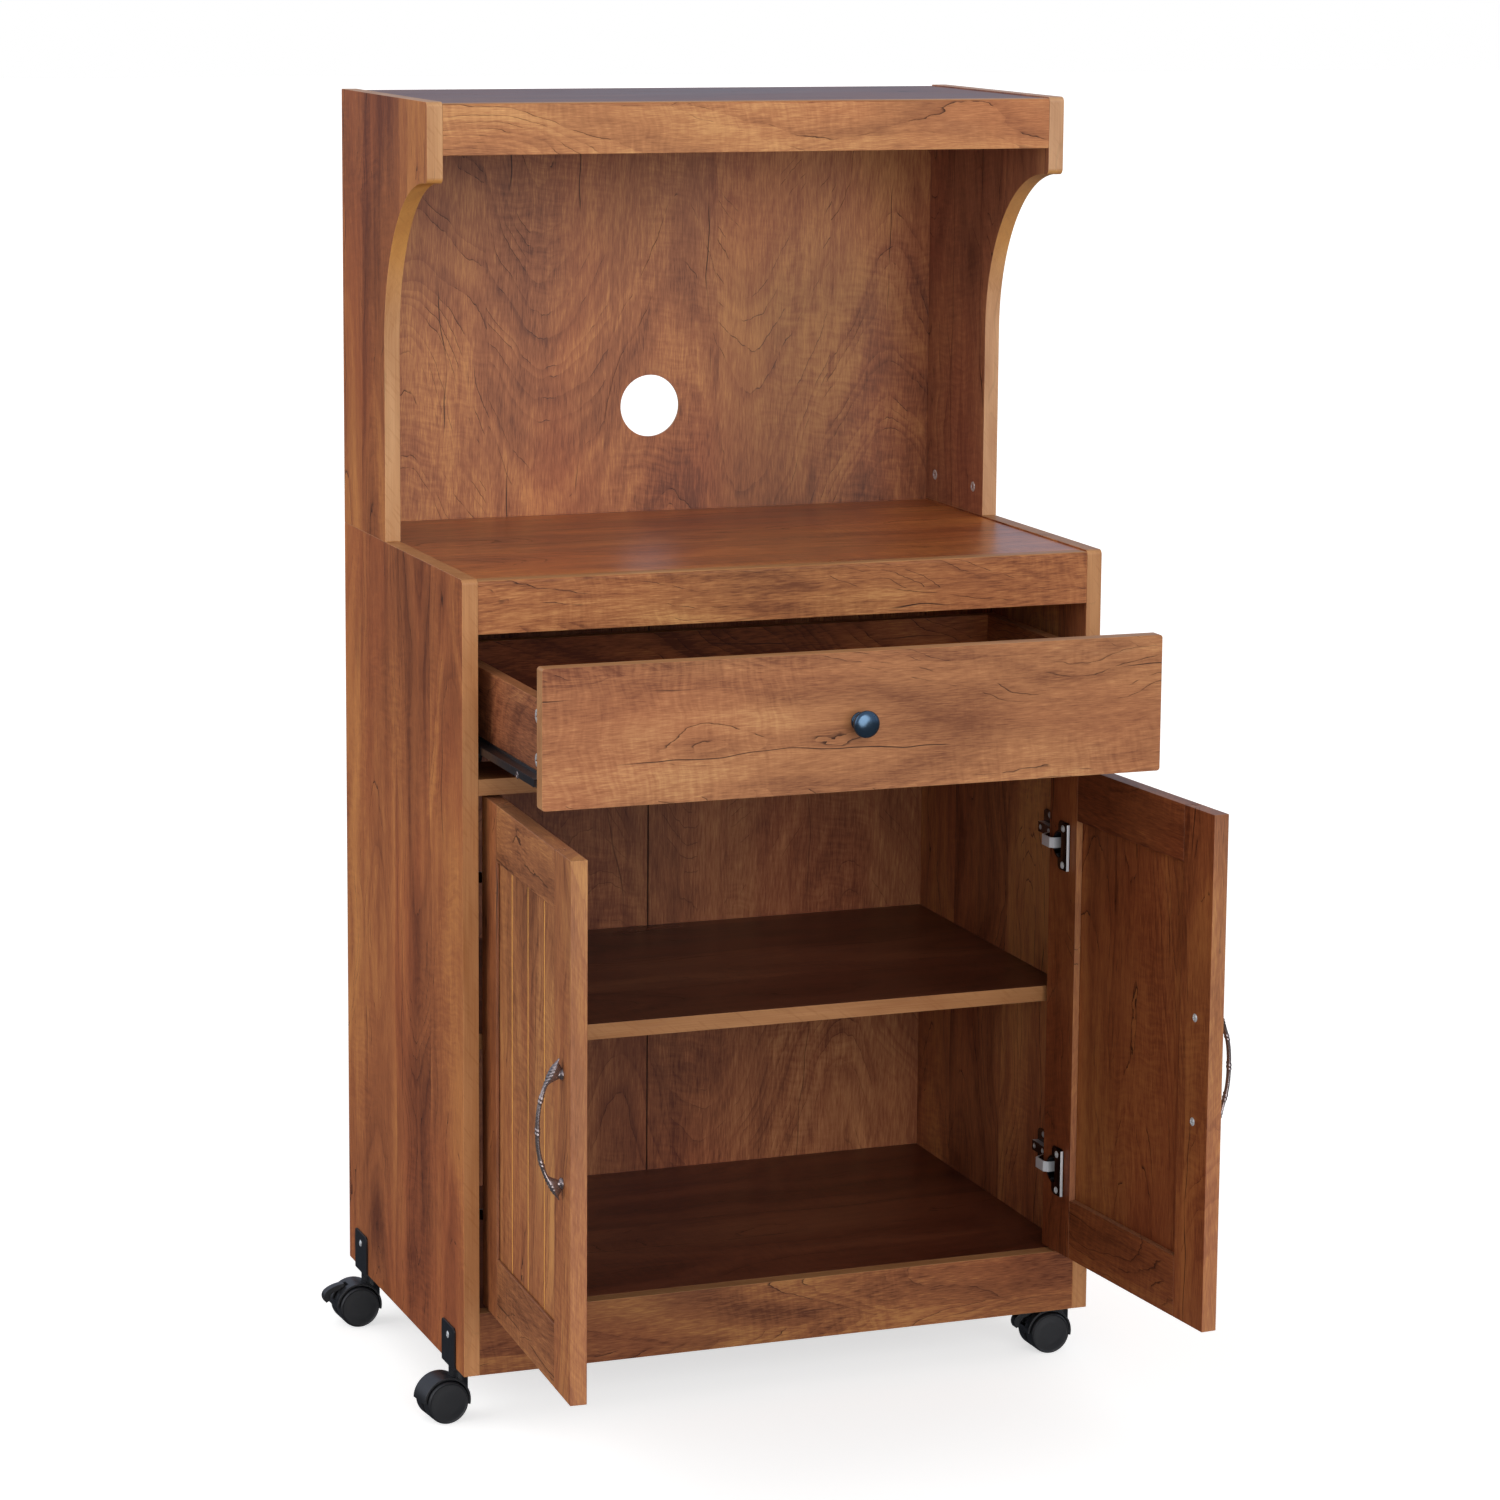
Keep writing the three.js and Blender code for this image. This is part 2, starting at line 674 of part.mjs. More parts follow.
function drawerBack() {
  const x0 = boxLeft + drawerSideThickness;
  const x1 = boxRight - drawerSideThickness;
  const board = block(x0, x1, boxRear - drawerSideThickness, boxRear, boxBottom, boxTop);
  return cut(board, bottomSheet(grooveClearance));
}

function drawerKnob() {
  const profile = [
    [0, 0],
    [knobBaseRadius, 0],
    [knobBaseRadius, 1.5],
    [knobBaseRadius - 1.5, 3],
    [knobNeckRadius, 5],
    [knobNeckRadius, knobReach - 12],
    [knobRadius - 2, knobReach - 8.5],
    [knobRadius, knobReach - 6],
    [knobRadius, knobReach - 4.5],
    [knobRadius - 2, knobReach - 2],
    [knobRadius - 5.5, knobReach - 0.5],
    [0, knobReach],
  ];
  return lathe(profile, 20).rotateX(Math.PI);
}

add(drawer, "drawer_front", drawerFront(), wood);
for (const side of sides) {
  const frame = group(drawer, side === "left" ? 0 : cartWidth);
  frame.scale.x = side === "left" ? 1 : -1;
  add(frame, "drawer_side_" + side, drawerSide(), wood);
  add(frame, "drawer_runner_" + side, drawerRunner(), blackSteel);
}
add(drawer, "drawer_back", drawerBack(), wood);
add(drawer, "drawer_bottom", bottomSheet(0), woodInside);
const knob = add(drawer, "drawer_knob", drawerKnob(), gunmetal);
knob.position.set(cartWidth / 2, 0, (frontBottom + frontTop) / 2);

// ---- Runners: a channel on the side panel with a front roller, and a channel under the
// drawer's side with a rear roller. Outlines are drawn across the cart, in X and Z.
function runnerLevels() {
  const bottom = dividerTop + runnerLift;
  const floor = bottom + runnerSheet;
  const track = bottom + runnerHeight - trackDrop; // underside of the drawer channel's track
  return {
    bottom,
    floor,
    track,
    frontAxle: track - rollerClearance - rollerRadius,
    rearAxle: floor + rollerClearance + rollerRadius,
  };
}

function cabinetRunner() {
  const { bottom, frontAxle } = runnerLevels();
  const wall = boardThickness;
  const top = bottom + runnerHeight;
  const reach = wall + runnerFlange;
  const outline = polygon([
    [wall, bottom],
    [reach, bottom],
    [reach, bottom + runnerSheet],
    [wall + runnerSheet, bottom + runnerSheet],
    [wall + runnerSheet, top - runnerSheet],
    [wall + 5, top - runnerSheet],
    [wall + 5, top],
    [wall, top],
  ]);
  const channel = extrudeY(outline, runnerSetback, rearAxleY + rollerRadius + 2);
  const notchEnd = frontRollerY + rollerRadius + 2;
  const notch = block(wall + runnerSheet, reach + 1, 0, notchEnd, bottom - 1, top + 1);
  const pin = rodX(rollerPinRadius, wall + 0.5, reach - 1, frontRollerY, frontAxle, 12);
  return geometryOf(solid(channel).subtract(solid(notch)).add(solid(pin)));
}

function runnerRoller() {
  const { frontAxle } = runnerLevels();
  const x0 = boardThickness + runnerSheet + lipSheet + 2 * runnerPlay;
  const wheel = rodX(rollerRadius, x0, x0 + rollerWidth, frontRollerY, frontAxle, 24);
  const bore = rodX(
    rollerPinRadius + grooveClearance, x0 - 1, x0 + rollerWidth + 1, frontRollerY, frontAxle, 12);
  return cut(wheel, bore);
}

function drawerRunner() {
  const { track, rearAxle } = runnerLevels();
  const wall = boxLeft;
  const lipX = boardThickness + runnerSheet + runnerPlay;
  const foot = boxBottom - runnerSheet;
  const outline = polygon([
    [wall - runnerSheet, foot],
    [wall + runnerSole, foot],
    [wall + runnerSole, boxBottom],
    [wall, boxBottom],
    [wall, boxBottom + runnerFoot],
    [wall - runnerSheet, boxBottom + runnerFoot],
    [wall - runnerSheet, track + runnerSheet],
    [lipX, track + runnerSheet],
    [lipX, track - trackLip],
    [lipX + lipSheet, track - trackLip],
    [lipX + lipSheet, track],
    [wall - runnerSheet, track],
  ]);
  const channel = extrudeY(outline, boxFront + 1, boxRear);
  const hanger = block(
    wall - runnerSheet, wall, rearAxleY - 10, boxRear, rearAxle - 5, boxBottom + 1);
  const x1 = wall - runnerSheet - rollerClearance;
  const x0 = x1 - rollerWidth + 0.8;
  const wheel = rodX(rollerRadius, x0, x1, rearAxleY, rearAxle, 24);
  const pin = rodX(rollerPinRadius, x1 - 1, wall - 0.5, rearAxleY, rearAxle, 12);
  return join(channel, hanger, wheel, pin);
}

for (const side of sides) {
  const frame = sideFrame(side);
  add(frame, "cabinet_runner_" + side, cabinetRunner(), blackSteel);
  add(frame, "runner_roller_" + side, runnerRoller(), blackPlastic);
}

// ---- Casters
function casterBracket() {
  const face = roundedRectangle(
    -bracketWidth / 2, bracketWidth / 2, casterLift, baseBottom + bracketHeight, 4);
  const upright = extrudeX(face, -bracketSheet, 0, 4);
  const skirt = block(-bracketSheet, 0, -bracketWidth / 2, bracketWidth / 2, casterLift, casterLift + 6);
  const leg = block(
    -bracketSheet, bracketLeg, -bracketWidth / 2, bracketWidth / 2, casterLift, baseBottom);
  const bore = rodZ(stemRadius + grooveClearance, stemInset, 0, casterLift - 1, baseBottom + 1, 16);
  const body = solid(upright).add(solid(skirt)).add(solid(leg)).subtract(solid(bore));
  return geometryOf(body);
}

// The housing is built round the axle at the origin, with the stem on its +X side: a hood over
// both wheels, a web between them that carries the axle, and a collar under the bracket.
function casterHousing(braked) {
  const top = casterLift - wheelRadius; // bracket's underside above the axle
  const half = hoodWidth / 2;
  const outline = new THREE.Shape();
  outline.absarc(0, 0, hoodRadius, radians(hoodFrontAngle), radians(hoodBackAngle), false);
  outline.lineTo(0, 0);
  const hood = extrudeY(outline, -half, half, 20);
  const boss = rodY(axleRadius + axleBossWall, 0, -webThickness / 2, webThickness / 2, 0, 16);
  const collar = rodZ(collarRadius, casterTrail, 0, 0, top - grooveClearance, 20);
  const roomRadius = wheelRadius + wheelClearance;
  const wheelRooms = [1, -1].map((end) => {
    const inner = (end * webThickness) / 2;
    const outer = inner + end * hoodWidth;
    return rodY(roomRadius, 0, Math.min(inner, outer), Math.max(inner, outer), 0, 28);
  });
  const bore = rodY(axleRadius + grooveClearance, 0, -half, half, 0, 12);
  const plate = top + bracketSheet;
  const stem = rodZ(stemRadius, casterTrail, 0, top - 2, plate + 1, 16);
  const head = rodZ(stemHeadRadius, casterTrail, 0, plate + grooveClearance, plate + stemHeadHeight, 16);
  let body = solid(hood).add(solid(boss)).add(solid(collar));
  for (const space of [...wheelRooms, bore]) body = body.subtract(solid(space));
  if (braked) body = body.subtract(solid(leverSlot()));
  return geometryOf(body.add(solid(stem)).add(solid(head)));
}

// Twin wheels on their axle, turned about the axle.
function wheelPair() {
  const inner = wheelGap / 2;
  const outer = inner + wheelWidth;
  const half = [
    [axleRadius, inner],
    [wheelRadius, inner],
    [wheelRadius, outer - 3],
    [wheelRadius - 1, outer - 2.4],
    [wheelRadius - 1.2, outer - 1],
    [wheelRadius - 3, outer],
  ];
  const mirrored = half.map(([r, h]) => [r, -h]).reverse();
  return lathe([[0, -outer], ...mirrored, ...half, [0, outer]], 28);
}

const leverPivotRadius = hoodRadius + 1.2;
const leverPivot = [
  leverPivotRadius * Math.cos(radians(leverPivotAngle)),
  leverPivotRadius * Math.sin(radians(leverPivotAngle)),
];

// The opening in the hood through which the lever reaches the web.
function leverSlot() {
  const half = leverWidth / 2 + 0.6;
  return block(
    -hoodRadius - 2, leverPivot[0] + 5.5, -half, half, hoodRadius * 0.28, hoodRadius + 2);
}

// A pedal with a hooked toe, turning on a pin across the hood; the pin is its origin.
function brakeLever() {
  const outline = new THREE.Shape();
  outline.absarc(0, 0, 2.4, radians(60), radians(240), true);
  outline.lineTo(-6.5, -4.5);
  outline.quadraticCurveTo(-13.5, -5, -14, -13.5);
  outline.lineTo(-17, -15);
  outline.quadraticCurveTo(-21.5, -9, -17.5, -4);
  outline.quadraticCurveTo(-11, 1.5, 0, 2.4);
  const pedal = extrudeY(outline, -leverWidth / 2, leverWidth / 2, 8);
  const pin = rodY(leverPinRadius, 0, -leverWidth / 2 - 0.4, leverWidth / 2 + 0.4, 0, 10);
  return join(pedal, pin);
}

for (const end of ["front", "rear"]) {
  for (const side of sides) {
    const place = end + "_" + side;
    const y = end === "front" ? casterFrontY : casterBackY;
    const bracket = add(sideFrame(side), "caster_bracket_" + place, casterBracket(), blackSteel);
    bracket.position.y = y;
    const braked = brakedCasters.includes(place);
    const swivel = group(cart, side === "left" ? stemInset : cartWidth - stemInset, y, wheelRadius);
    swivel.rotation.z = radians(swivelAngles[place]);
    const axle = group(swivel, -casterTrail, 0, 0);
    add(axle, "caster_housing_" + place, casterHousing(braked), blackPlastic);
    add(axle, "caster_wheels_" + place, wheelPair(), blackPlastic);
    if (braked) {
      const lever = add(axle, "brake_lever_" + place, brakeLever(), blackPlastic);
      lever.position.set(leverPivot[0], 0, leverPivot[1]);
    }
  }
}

// The part stands on the floor, centred on its own box.
const box = new THREE.Box3().setFromObject(cart, true);
cart.position.set(-(box.min.x + box.max.x) / 2, -(box.min.y + box.max.y) / 2, -box.min.z);

export default cart;
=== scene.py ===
import math
import bpy
import bmesh
from mathutils import Matrix, Vector
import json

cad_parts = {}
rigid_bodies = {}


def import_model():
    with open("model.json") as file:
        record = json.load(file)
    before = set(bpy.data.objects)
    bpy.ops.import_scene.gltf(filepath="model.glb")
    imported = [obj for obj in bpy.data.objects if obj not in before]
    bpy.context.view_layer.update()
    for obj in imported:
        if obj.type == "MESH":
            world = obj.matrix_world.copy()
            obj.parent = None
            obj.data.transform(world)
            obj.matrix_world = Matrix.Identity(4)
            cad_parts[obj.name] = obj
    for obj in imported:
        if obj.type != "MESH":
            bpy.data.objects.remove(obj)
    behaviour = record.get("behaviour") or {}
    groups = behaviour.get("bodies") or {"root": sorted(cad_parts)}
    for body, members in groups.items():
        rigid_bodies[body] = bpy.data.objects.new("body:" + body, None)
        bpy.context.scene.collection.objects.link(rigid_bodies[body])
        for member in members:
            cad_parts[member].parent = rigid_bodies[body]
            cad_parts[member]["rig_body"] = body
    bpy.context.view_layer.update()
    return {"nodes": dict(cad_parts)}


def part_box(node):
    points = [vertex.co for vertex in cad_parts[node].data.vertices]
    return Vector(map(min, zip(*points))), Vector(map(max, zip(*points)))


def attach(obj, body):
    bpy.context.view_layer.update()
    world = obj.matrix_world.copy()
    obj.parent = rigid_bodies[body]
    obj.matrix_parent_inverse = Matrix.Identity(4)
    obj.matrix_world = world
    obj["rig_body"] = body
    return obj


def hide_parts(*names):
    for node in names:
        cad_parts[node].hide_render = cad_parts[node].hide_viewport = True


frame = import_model()
nodes = frame["nodes"]
print("stage: frame loaded,", len(nodes), "nodes")

mm = 0.001
# Places on the cart are in millimetres from its own corner: outer left side, front edge, floor.
corner = Vector((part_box("base_side_left")[0].x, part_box("base_side_left")[0].y, 0))
cart = {"width": 624.0, "drawerOut": 172.0}


# Small helpers for shader trees

def addNode(tree, kind, **settings):
    node = tree.nodes.new(kind)
    for key, value in settings.items():
        setattr(node, key, value)
    return node


def plug(tree, source, target):
    # a number or a colour is set on the socket, anything else is linked to it
    if isinstance(source, bpy.types.NodeSocket):
        tree.links.new(source, target)
    else:
        target.default_value = source


def maths(tree, operation, first, second=0.0, third=None, clamp=False):
    node = addNode(tree, "ShaderNodeMath", operation=operation, use_clamp=clamp)
    plug(tree, first, node.inputs[0])
    plug(tree, second, node.inputs[1])
    if third is not None:
        plug(tree, third, node.inputs[2])
    return node.outputs[0]


def vectorMaths(tree, operation, first, second, out="Vector"):
    node = addNode(tree, "ShaderNodeVectorMath", operation=operation)
    plug(tree, first, node.inputs[0])
    plug(tree, second, node.inputs[1])
    return node.outputs[out]


def smoothRange(tree, value, low, high, toLow=0.0, toHigh=1.0):
    node = addNode(tree, "ShaderNodeMapRange", interpolation_type="SMOOTHSTEP")
    plug(tree, value, node.inputs["Value"])
    for name, number in (("From Min", low), ("From Max", high), ("To Min", toLow), ("To Max", toHigh)):
        plug(tree, number, node.inputs[name])
    return node.outputs["Result"]


def mixColour(tree, amount, first, second, blend="MIX"):
    node = addNode(tree, "ShaderNodeMix", data_type="RGBA", blend_type=blend)
    plug(tree, amount, node.inputs["Factor"])
    plug(tree, first, node.inputs[6])
    plug(tree, second, node.inputs[7])
    return node.outputs[2]


def noise(tree, place, stretch, detail=2.0, rough=0.5):
    # stretch is how many blotches fit in a metre, along each direction
    scaled = vectorMaths(tree, "MULTIPLY", place, stretch)
    node = addNode(tree, "ShaderNodeTexNoise", noise_dimensions="3D")
    plug(tree, scaled, node.inputs["Vector"])
    node.inputs["Scale"].default_value = 1.0
    node.inputs["Detail"].default_value = detail
    node.inputs["Roughness"].default_value = rough
    return node.outputs[0]


def split(tree, vector):
    node = addNode(tree, "ShaderNodeSeparateXYZ")
    tree.links.new(vector, node.inputs[0])
    return node.outputs


def deal(tree, random):
    # three separate numbers from one random colour
    node = addNode(tree, "ShaderNodeSeparateColor")
    tree.links.new(random, node.inputs[0])
    return node.outputs


def join(tree, *numbers):
    node = addNode(tree, "ShaderNodeCombineXYZ")
    for number, socket in zip(numbers, node.inputs):
        plug(tree, number, socket)
    return node.outputs[0]


def centred(tree, value):
    # a value from 0 to 1 becomes one from -0.5 to 0.5
    return maths(tree, "SUBTRACT", value, 0.5)


def addBump(tree, shader, height, strength, distance):
    bump = addNode(tree, "ShaderNodeBump")
    bump.inputs["Strength"].default_value = strength
    bump.inputs["Distance"].default_value = distance
    tree.links.new(height, bump.inputs["Height"])
    tree.links.new(bump.outputs[0], shader.inputs["Normal"])


def newGroup(name, inputs, outputs):
    tree = bpy.data.node_groups.new(name, "ShaderNodeTree")
    for label, kind, value in inputs:
        socket = tree.interface.new_socket(label, in_out="INPUT", socket_type="NodeSocket" + kind)
        socket.default_value = value
    for label, kind in outputs:
        tree.interface.new_socket(label, in_out="OUTPUT", socket_type="NodeSocket" + kind)
    given = tree.nodes.new("NodeGroupInput")
    result = tree.nodes.new("NodeGroupOutput")
    return tree, given.outputs, result.inputs


def useGroup(tree, group, **values):
    node = addNode(tree, "ShaderNodeGroup", node_tree=group)
    for label, value in values.items():
        plug(tree, value, node.inputs[label])
    return node.outputs


def colour(red, green, blue):
    # a colour as a picture writes it, 0 to 255, in the linear values that sockets take
    def linear(value):
        value /= 255
        return value / 12.92 if value <= 0.04045 else ((value + 0.055) / 1.055) ** 2.4
    return (linear(red), linear(green), linear(blue), 1.0)


def smoothStep(value, low, high):
    t = min(max((value - low) / (high - low), 0.0), 1.0)
    return t * t * (3 - 2 * t)


# Shared effects

boardPrint = {
    "seedStep": (0.737, 0.391, 1.913),  # how far the print moves on from one board to the next
    "edgeSlant": 1.3,  # how far the print slants as it runs round an edge
    # how squarely a surface faces one way before it counts as the inner side, a face or an arris
    "rearFrom": (0.3, 0.6), "faceFrom": (0.55, 0.8), "arrisFrom": (0.985, 0.93),
}


def makeBoardSpace():
    # turns a point of the cart into a board's own place: x across the grain, y through, z along
    tree, given, result = newGroup(
        "boardSpace",
        [("Point", "Vector", (0, 0, 0)), ("Normal", "Vector", (0, 0, 1)), ("Across", "Vector", (1, 0, 0)),
         ("Through", "Vector", (0, 1, 0)), ("Along", "Vector", (0, 0, 1)), ("Seed", "Float", 0.0)],
        [("Place", "Vector"), ("Face", "Float"), ("Arris", "Float"), ("Rear", "Float")])
    spots = []
    turns = []
    for axis in ("Across", "Through", "Along"):
        spots.append(vectorMaths(tree, "DOT_PRODUCT", given["Point"], given[axis], "Value"))
        turn = vectorMaths(tree, "DOT_PRODUCT", given["Normal"], given[axis], "Value")
        turns.append(maths(tree, "ABSOLUTE", turn))
        if axis == "Through":
            tree.links.new(smoothRange(tree, turn, *boardPrint["rearFrom"]), result["Rear"])
    # the print runs on round the edges, and slants there
    spots[0] = maths(tree, "ADD", spots[0], spots[1])
    spots[2] = maths(tree, "MULTIPLY_ADD", spots[1], boardPrint["edgeSlant"], spots[2])
    moved = [maths(tree, "MULTIPLY_ADD", given["Seed"], step, spot)
             for spot, step in zip(spots, boardPrint["seedStep"])]
    tree.links.new(join(tree, *moved), result["Place"])
    tree.links.new(smoothRange(tree, turns[1], *boardPrint["faceFrom"]), result["Face"])
    most = maths(tree, "MAXIMUM", turns[0], maths(tree, "MAXIMUM", turns[1], turns[2]))
    tree.links.new(smoothRange(tree, most, *boardPrint["arrisFrom"]), result["Arris"])
    return tree


grain = {
    # sizes in metres, amounts as shares of the print's own light and dark
    "leafWidth": 0.118, "leafShift": 0.06, "leafShade": 0.26, "leafStep": 7.7,
    "bend": 0.07, "waver": 0.012, "archRound": 0.0003, "archWander": 0.17,
    "ringGap": 0.0082, "ringWarp": 1.2, "ringTone": 0.27, "ringShadow": -0.13,
    "checksPerMetre": 15.0, "checkWaver": 0.15, "checkWidth": (0.012, 0.004),
    "knotCells": (9, 9, 6), "knotFray": 0.16, "knotRadius": 0.05, "haloRadius": 0.34, "haloShade": -0.25,
    "cloud": 1.0, "streak": 0.5, "columns": 1.3, "curl": 0.55, "fibre": 0.9, "hatch": 0.62, "hatchSlant": -0.16,
    "curlAcross": 34.0, "curlSlant": 30.0, "curlAlong": 230.0, "curlWaver": 5.0,
    "redLeaf": (0.96, 0.76, 0.80, 1.0), "smokyPatch": (0.60, 0.58, 0.66, 1.0),
    "crackDark": 0.92, "knotDark": 0.85,
}


def makeWoodPrint():
    # printed wood grain: leaves of veneer, cathedral rings, cracks, curl, fibres and small knots
    tree, given, result = newGroup(
        "woodPrint",
        [("Place", "Vector", (0, 0, 0)), ("Dark", "Color", (0.1, 0.04, 0.02, 1)),
         ("Middle", "Color", (0.3, 0.12, 0.05, 1)), ("Light", "Color", (0.5, 0.25, 0.1, 1)),
         ("Crack Colour", "Color", (0.03, 0.01, 0.01, 1)), ("Contrast", "Float", 1.0),
         ("Curl", "Float", 1.0), ("Cracks", "Float", 1.0), ("Knots", "Float", 1.0),
         ("Lean", "Float", 1.0), ("Bands", "Float", 0.0)],
        [("Colour", "Color"), ("Height", "Float"), ("Sheen Mask", "Float")])
    place = given["Place"]
    across, through, along = split(tree, place)

    # slow bends of the grain
    bend = centred(tree, noise(tree, place, (3.5, 3.5, 2.2), 2.0))
    waver = centred(tree, noise(tree, place, (24, 24, 9), 2.0))
    bent = maths(tree, "MULTIPLY_ADD", bend, grain["bend"], across)
    bent = maths(tree, "MULTIPLY_ADD", waver, grain["waver"], bent)

    # leaves of veneer, each with its own heart and its own lean
    leafRun = maths(tree, "DIVIDE", bent, grain["leafWidth"])
    leaf = maths(tree, "FLOOR", leafRun)
    chance = addNode(tree, "ShaderNodeTexWhiteNoise", noise_dimensions="1D")
    tree.links.new(leaf, chance.inputs["W"])
    shadeDraw, heartDraw, leanDraw = deal(tree, chance.outputs["Color"])
    leafShade = centred(tree, shadeDraw)
    heartShift = maths(tree, "MULTIPLY", centred(tree, heartDraw), grain["leafShift"])
    lean = smoothRange(tree, leanDraw, 0.35, 0.65, -0.5, 0.5)
    lean = maths(tree, "MULTIPLY", lean, given["Lean"])
    inLeaf = centred(tree, maths(tree, "FRACT", leafRun))
    inLeaf = maths(tree, "MULTIPLY_ADD", inLeaf, grain["leafWidth"], heartShift)

    # nested arches: distance from the heart plus a lean along the board
    reach = maths(tree, "SQRT", maths(tree, "MULTIPLY_ADD", inLeaf, inLeaf, grain["archRound"]))
    reach = maths(tree, "MULTIPLY_ADD", lean, along, reach)
    reach = maths(tree, "MULTIPLY_ADD", noise(tree, place, (4.0, 4.0, 3.0), 2.0), grain["archWander"], reach)
    ringRun = maths(tree, "DIVIDE", reach, grain["ringGap"])
    ringRun = maths(tree, "MULTIPLY_ADD", noise(tree, place, (60, 60, 22), 3.0, 0.55),
                    grain["ringWarp"], ringRun)
    ringPart = maths(tree, "FRACT", ringRun)
    pick = addNode(tree, "ShaderNodeTexWhiteNoise", noise_dimensions="2D")
    tree.links.new(join(tree, maths(tree, "FLOOR", ringRun), leaf), pick.inputs["Vector"])
    chosen = smoothRange(tree, pick.outputs["Value"], 0.45, 0.6)
    breaks = smoothRange(tree, noise(tree, place, (30, 30, 12), 3.0, 0.7), 0.50, 0.57)
    figure = smoothRange(tree, noise(tree, place, (5.5, 5.5, 3.6), 1.0), 0.40, 0.60)
    line = maths(tree, "MULTIPLY", smoothRange(tree, ringPart, 0.12, 0.0),
                 maths(tree, "MULTIPLY", breaks, chosen))
    shadow = maths(tree, "MULTIPLY", smoothRange(tree, ringPart, 0.75, 0.0),
                   maths(tree, "MULTIPLY", figure, chosen))

    # long checks that run with the grain
    checkRun = maths(tree, "MULTIPLY", bent, grain["checksPerMetre"])
    checkRun = maths(tree, "MULTIPLY_ADD", waver, grain["checkWaver"], checkRun)
    checkPart = maths(tree, "ABSOLUTE", centred(tree, maths(tree, "FRACT", checkRun)))
    checkWhere = smoothRange(tree, noise(tree, place, (11, 11, 2.2), 3.0, 0.7), 0.53, 0.57)
    check = maths(tree, "MULTIPLY", smoothRange(tree, checkPart, *grain["checkWidth"]), checkWhere)
    line = maths(tree, "MULTIPLY", maths(tree, "MAXIMUM", line, check), given["Cracks"], clamp=True)

    # small knots, each in a darker halo
    cells = addNode(tree, "ShaderNodeTexVoronoi", feature="F1")
    plug(tree, vectorMaths(tree, "MULTIPLY", place, grain["knotCells"]), cells.inputs["Vector"])
    cells.inputs["Scale"].default_value = 1.0
    fray = noise(tree, place, (260, 260, 110), 3.0, 0.7)
    fray = maths(tree, "MULTIPLY_ADD", fray, grain["knotFray"], -grain["knotFray"] / 2)
    far = maths(tree, "ADD", cells.outputs["Distance"], fray)
    knotPick = smoothRange(tree, deal(tree, cells.outputs["Color"])[0], 0.66, 0.72)
    knot = maths(tree, "MULTIPLY", smoothRange(tree, far, grain["knotRadius"], 0.0), knotPick)
    knot = maths(tree, "MULTIPLY", knot, given["Knots"], clamp=True)
    halo = maths(tree, "MULTIPLY", smoothRange(tree, far, grain["haloRadius"], 0.02), knotPick)

    # curl: short ripples across the grain, where the wood is figured
    slope = maths(tree, "MULTIPLY", along, grain["curlAlong"])
    slope = maths(tree, "MULTIPLY_ADD", across, grain["curlSlant"], slope)
    slope = maths(tree, "MULTIPLY_ADD", waver, grain["curlWaver"], slope)
    ripple = addNode(tree, "ShaderNodeTexNoise", noise_dimensions="3D")
    tree.links.new(join(tree, maths(tree, "MULTIPLY", across, grain["curlAcross"]), 0.0, slope),
                   ripple.inputs["Vector"])
    ripple.inputs["Scale"].default_value = 1.0
    ripple.inputs["Detail"].default_value = 2.0
    figured = smoothRange(tree, noise(tree, place, (9, 9, 5), 2.0), 0.40, 0.66)
    curl = maths(tree, "MULTIPLY", centred(tree, ripple.outputs[0]), figured)
    curl = maths(tree, "MULTIPLY", curl, given["Curl"])

    # short slanting strokes, the hatching that shows from a step away
    slanted = join(tree, maths(tree, "MULTIPLY_ADD", along, grain["hatchSlant"], across), through, along)
    hatch = centred(tree, noise(tree, slanted, (330, 330, 34), 3.0, 0.7))
    where = smoothRange(tree, noise(tree, place, (13, 13, 6), 2.0), 0.38, 0.62, 0.35, 1.0)
    hatch = maths(tree, "MULTIPLY", hatch, where)

    # tone: rings, broad clouds, streaks, columns, leaves, and then the marks above
    rings = addNode(tree, "ShaderNodeTexNoise", noise_dimensions="1D")
    toneRun = maths(tree, "MULTIPLY", ringRun, grain["ringTone"])
    plug(tree, maths(tree, "MULTIPLY_ADD", leaf, grain["leafStep"], toneRun), rings.inputs["W"])
    rings.inputs["Scale"].default_value = 1.0
    rings.inputs["Detail"].default_value = 2.0
    cloud = noise(tree, place, (5.5, 5.5, 2.6), 3.0, 0.6)
    streak = noise(tree, place, (85, 85, 3.0), 3.0, 0.6)
    column = centred(tree, noise(tree, place, (19, 19, 1.6), 3.0, 0.55))
    fibre = centred(tree, noise(tree, place, (900, 900, 70), 3.0, 0.65))
    shade = maths(tree, "MULTIPLY_ADD", centred(tree, rings.outputs[0]), 0.5, 0.5)
    for part, amount in (
            (centred(tree, cloud), grain["cloud"]), (centred(tree, streak), grain["streak"]),
            (maths(tree, "MULTIPLY", column, given["Bands"]), grain["columns"]),
            (leafShade, grain["leafShade"]), (halo, grain["haloShade"]), (shadow, grain["ringShadow"]),
            (curl, grain["curl"]), (fibre, grain["fibre"]), (hatch, grain["hatch"])):
        shade = maths(tree, "MULTIPLY_ADD", part, amount, shade)
    shade = maths(tree, "MULTIPLY_ADD", centred(tree, shade), given["Contrast"], 0.5)

    body = mixColour(tree, maths(tree, "MULTIPLY", shade, 2.0, clamp=True), given["Dark"], given["Middle"])
    body = mixColour(tree, maths(tree, "MULTIPLY_ADD", shade, 2.0, -1.0, clamp=True), body, given["Light"])
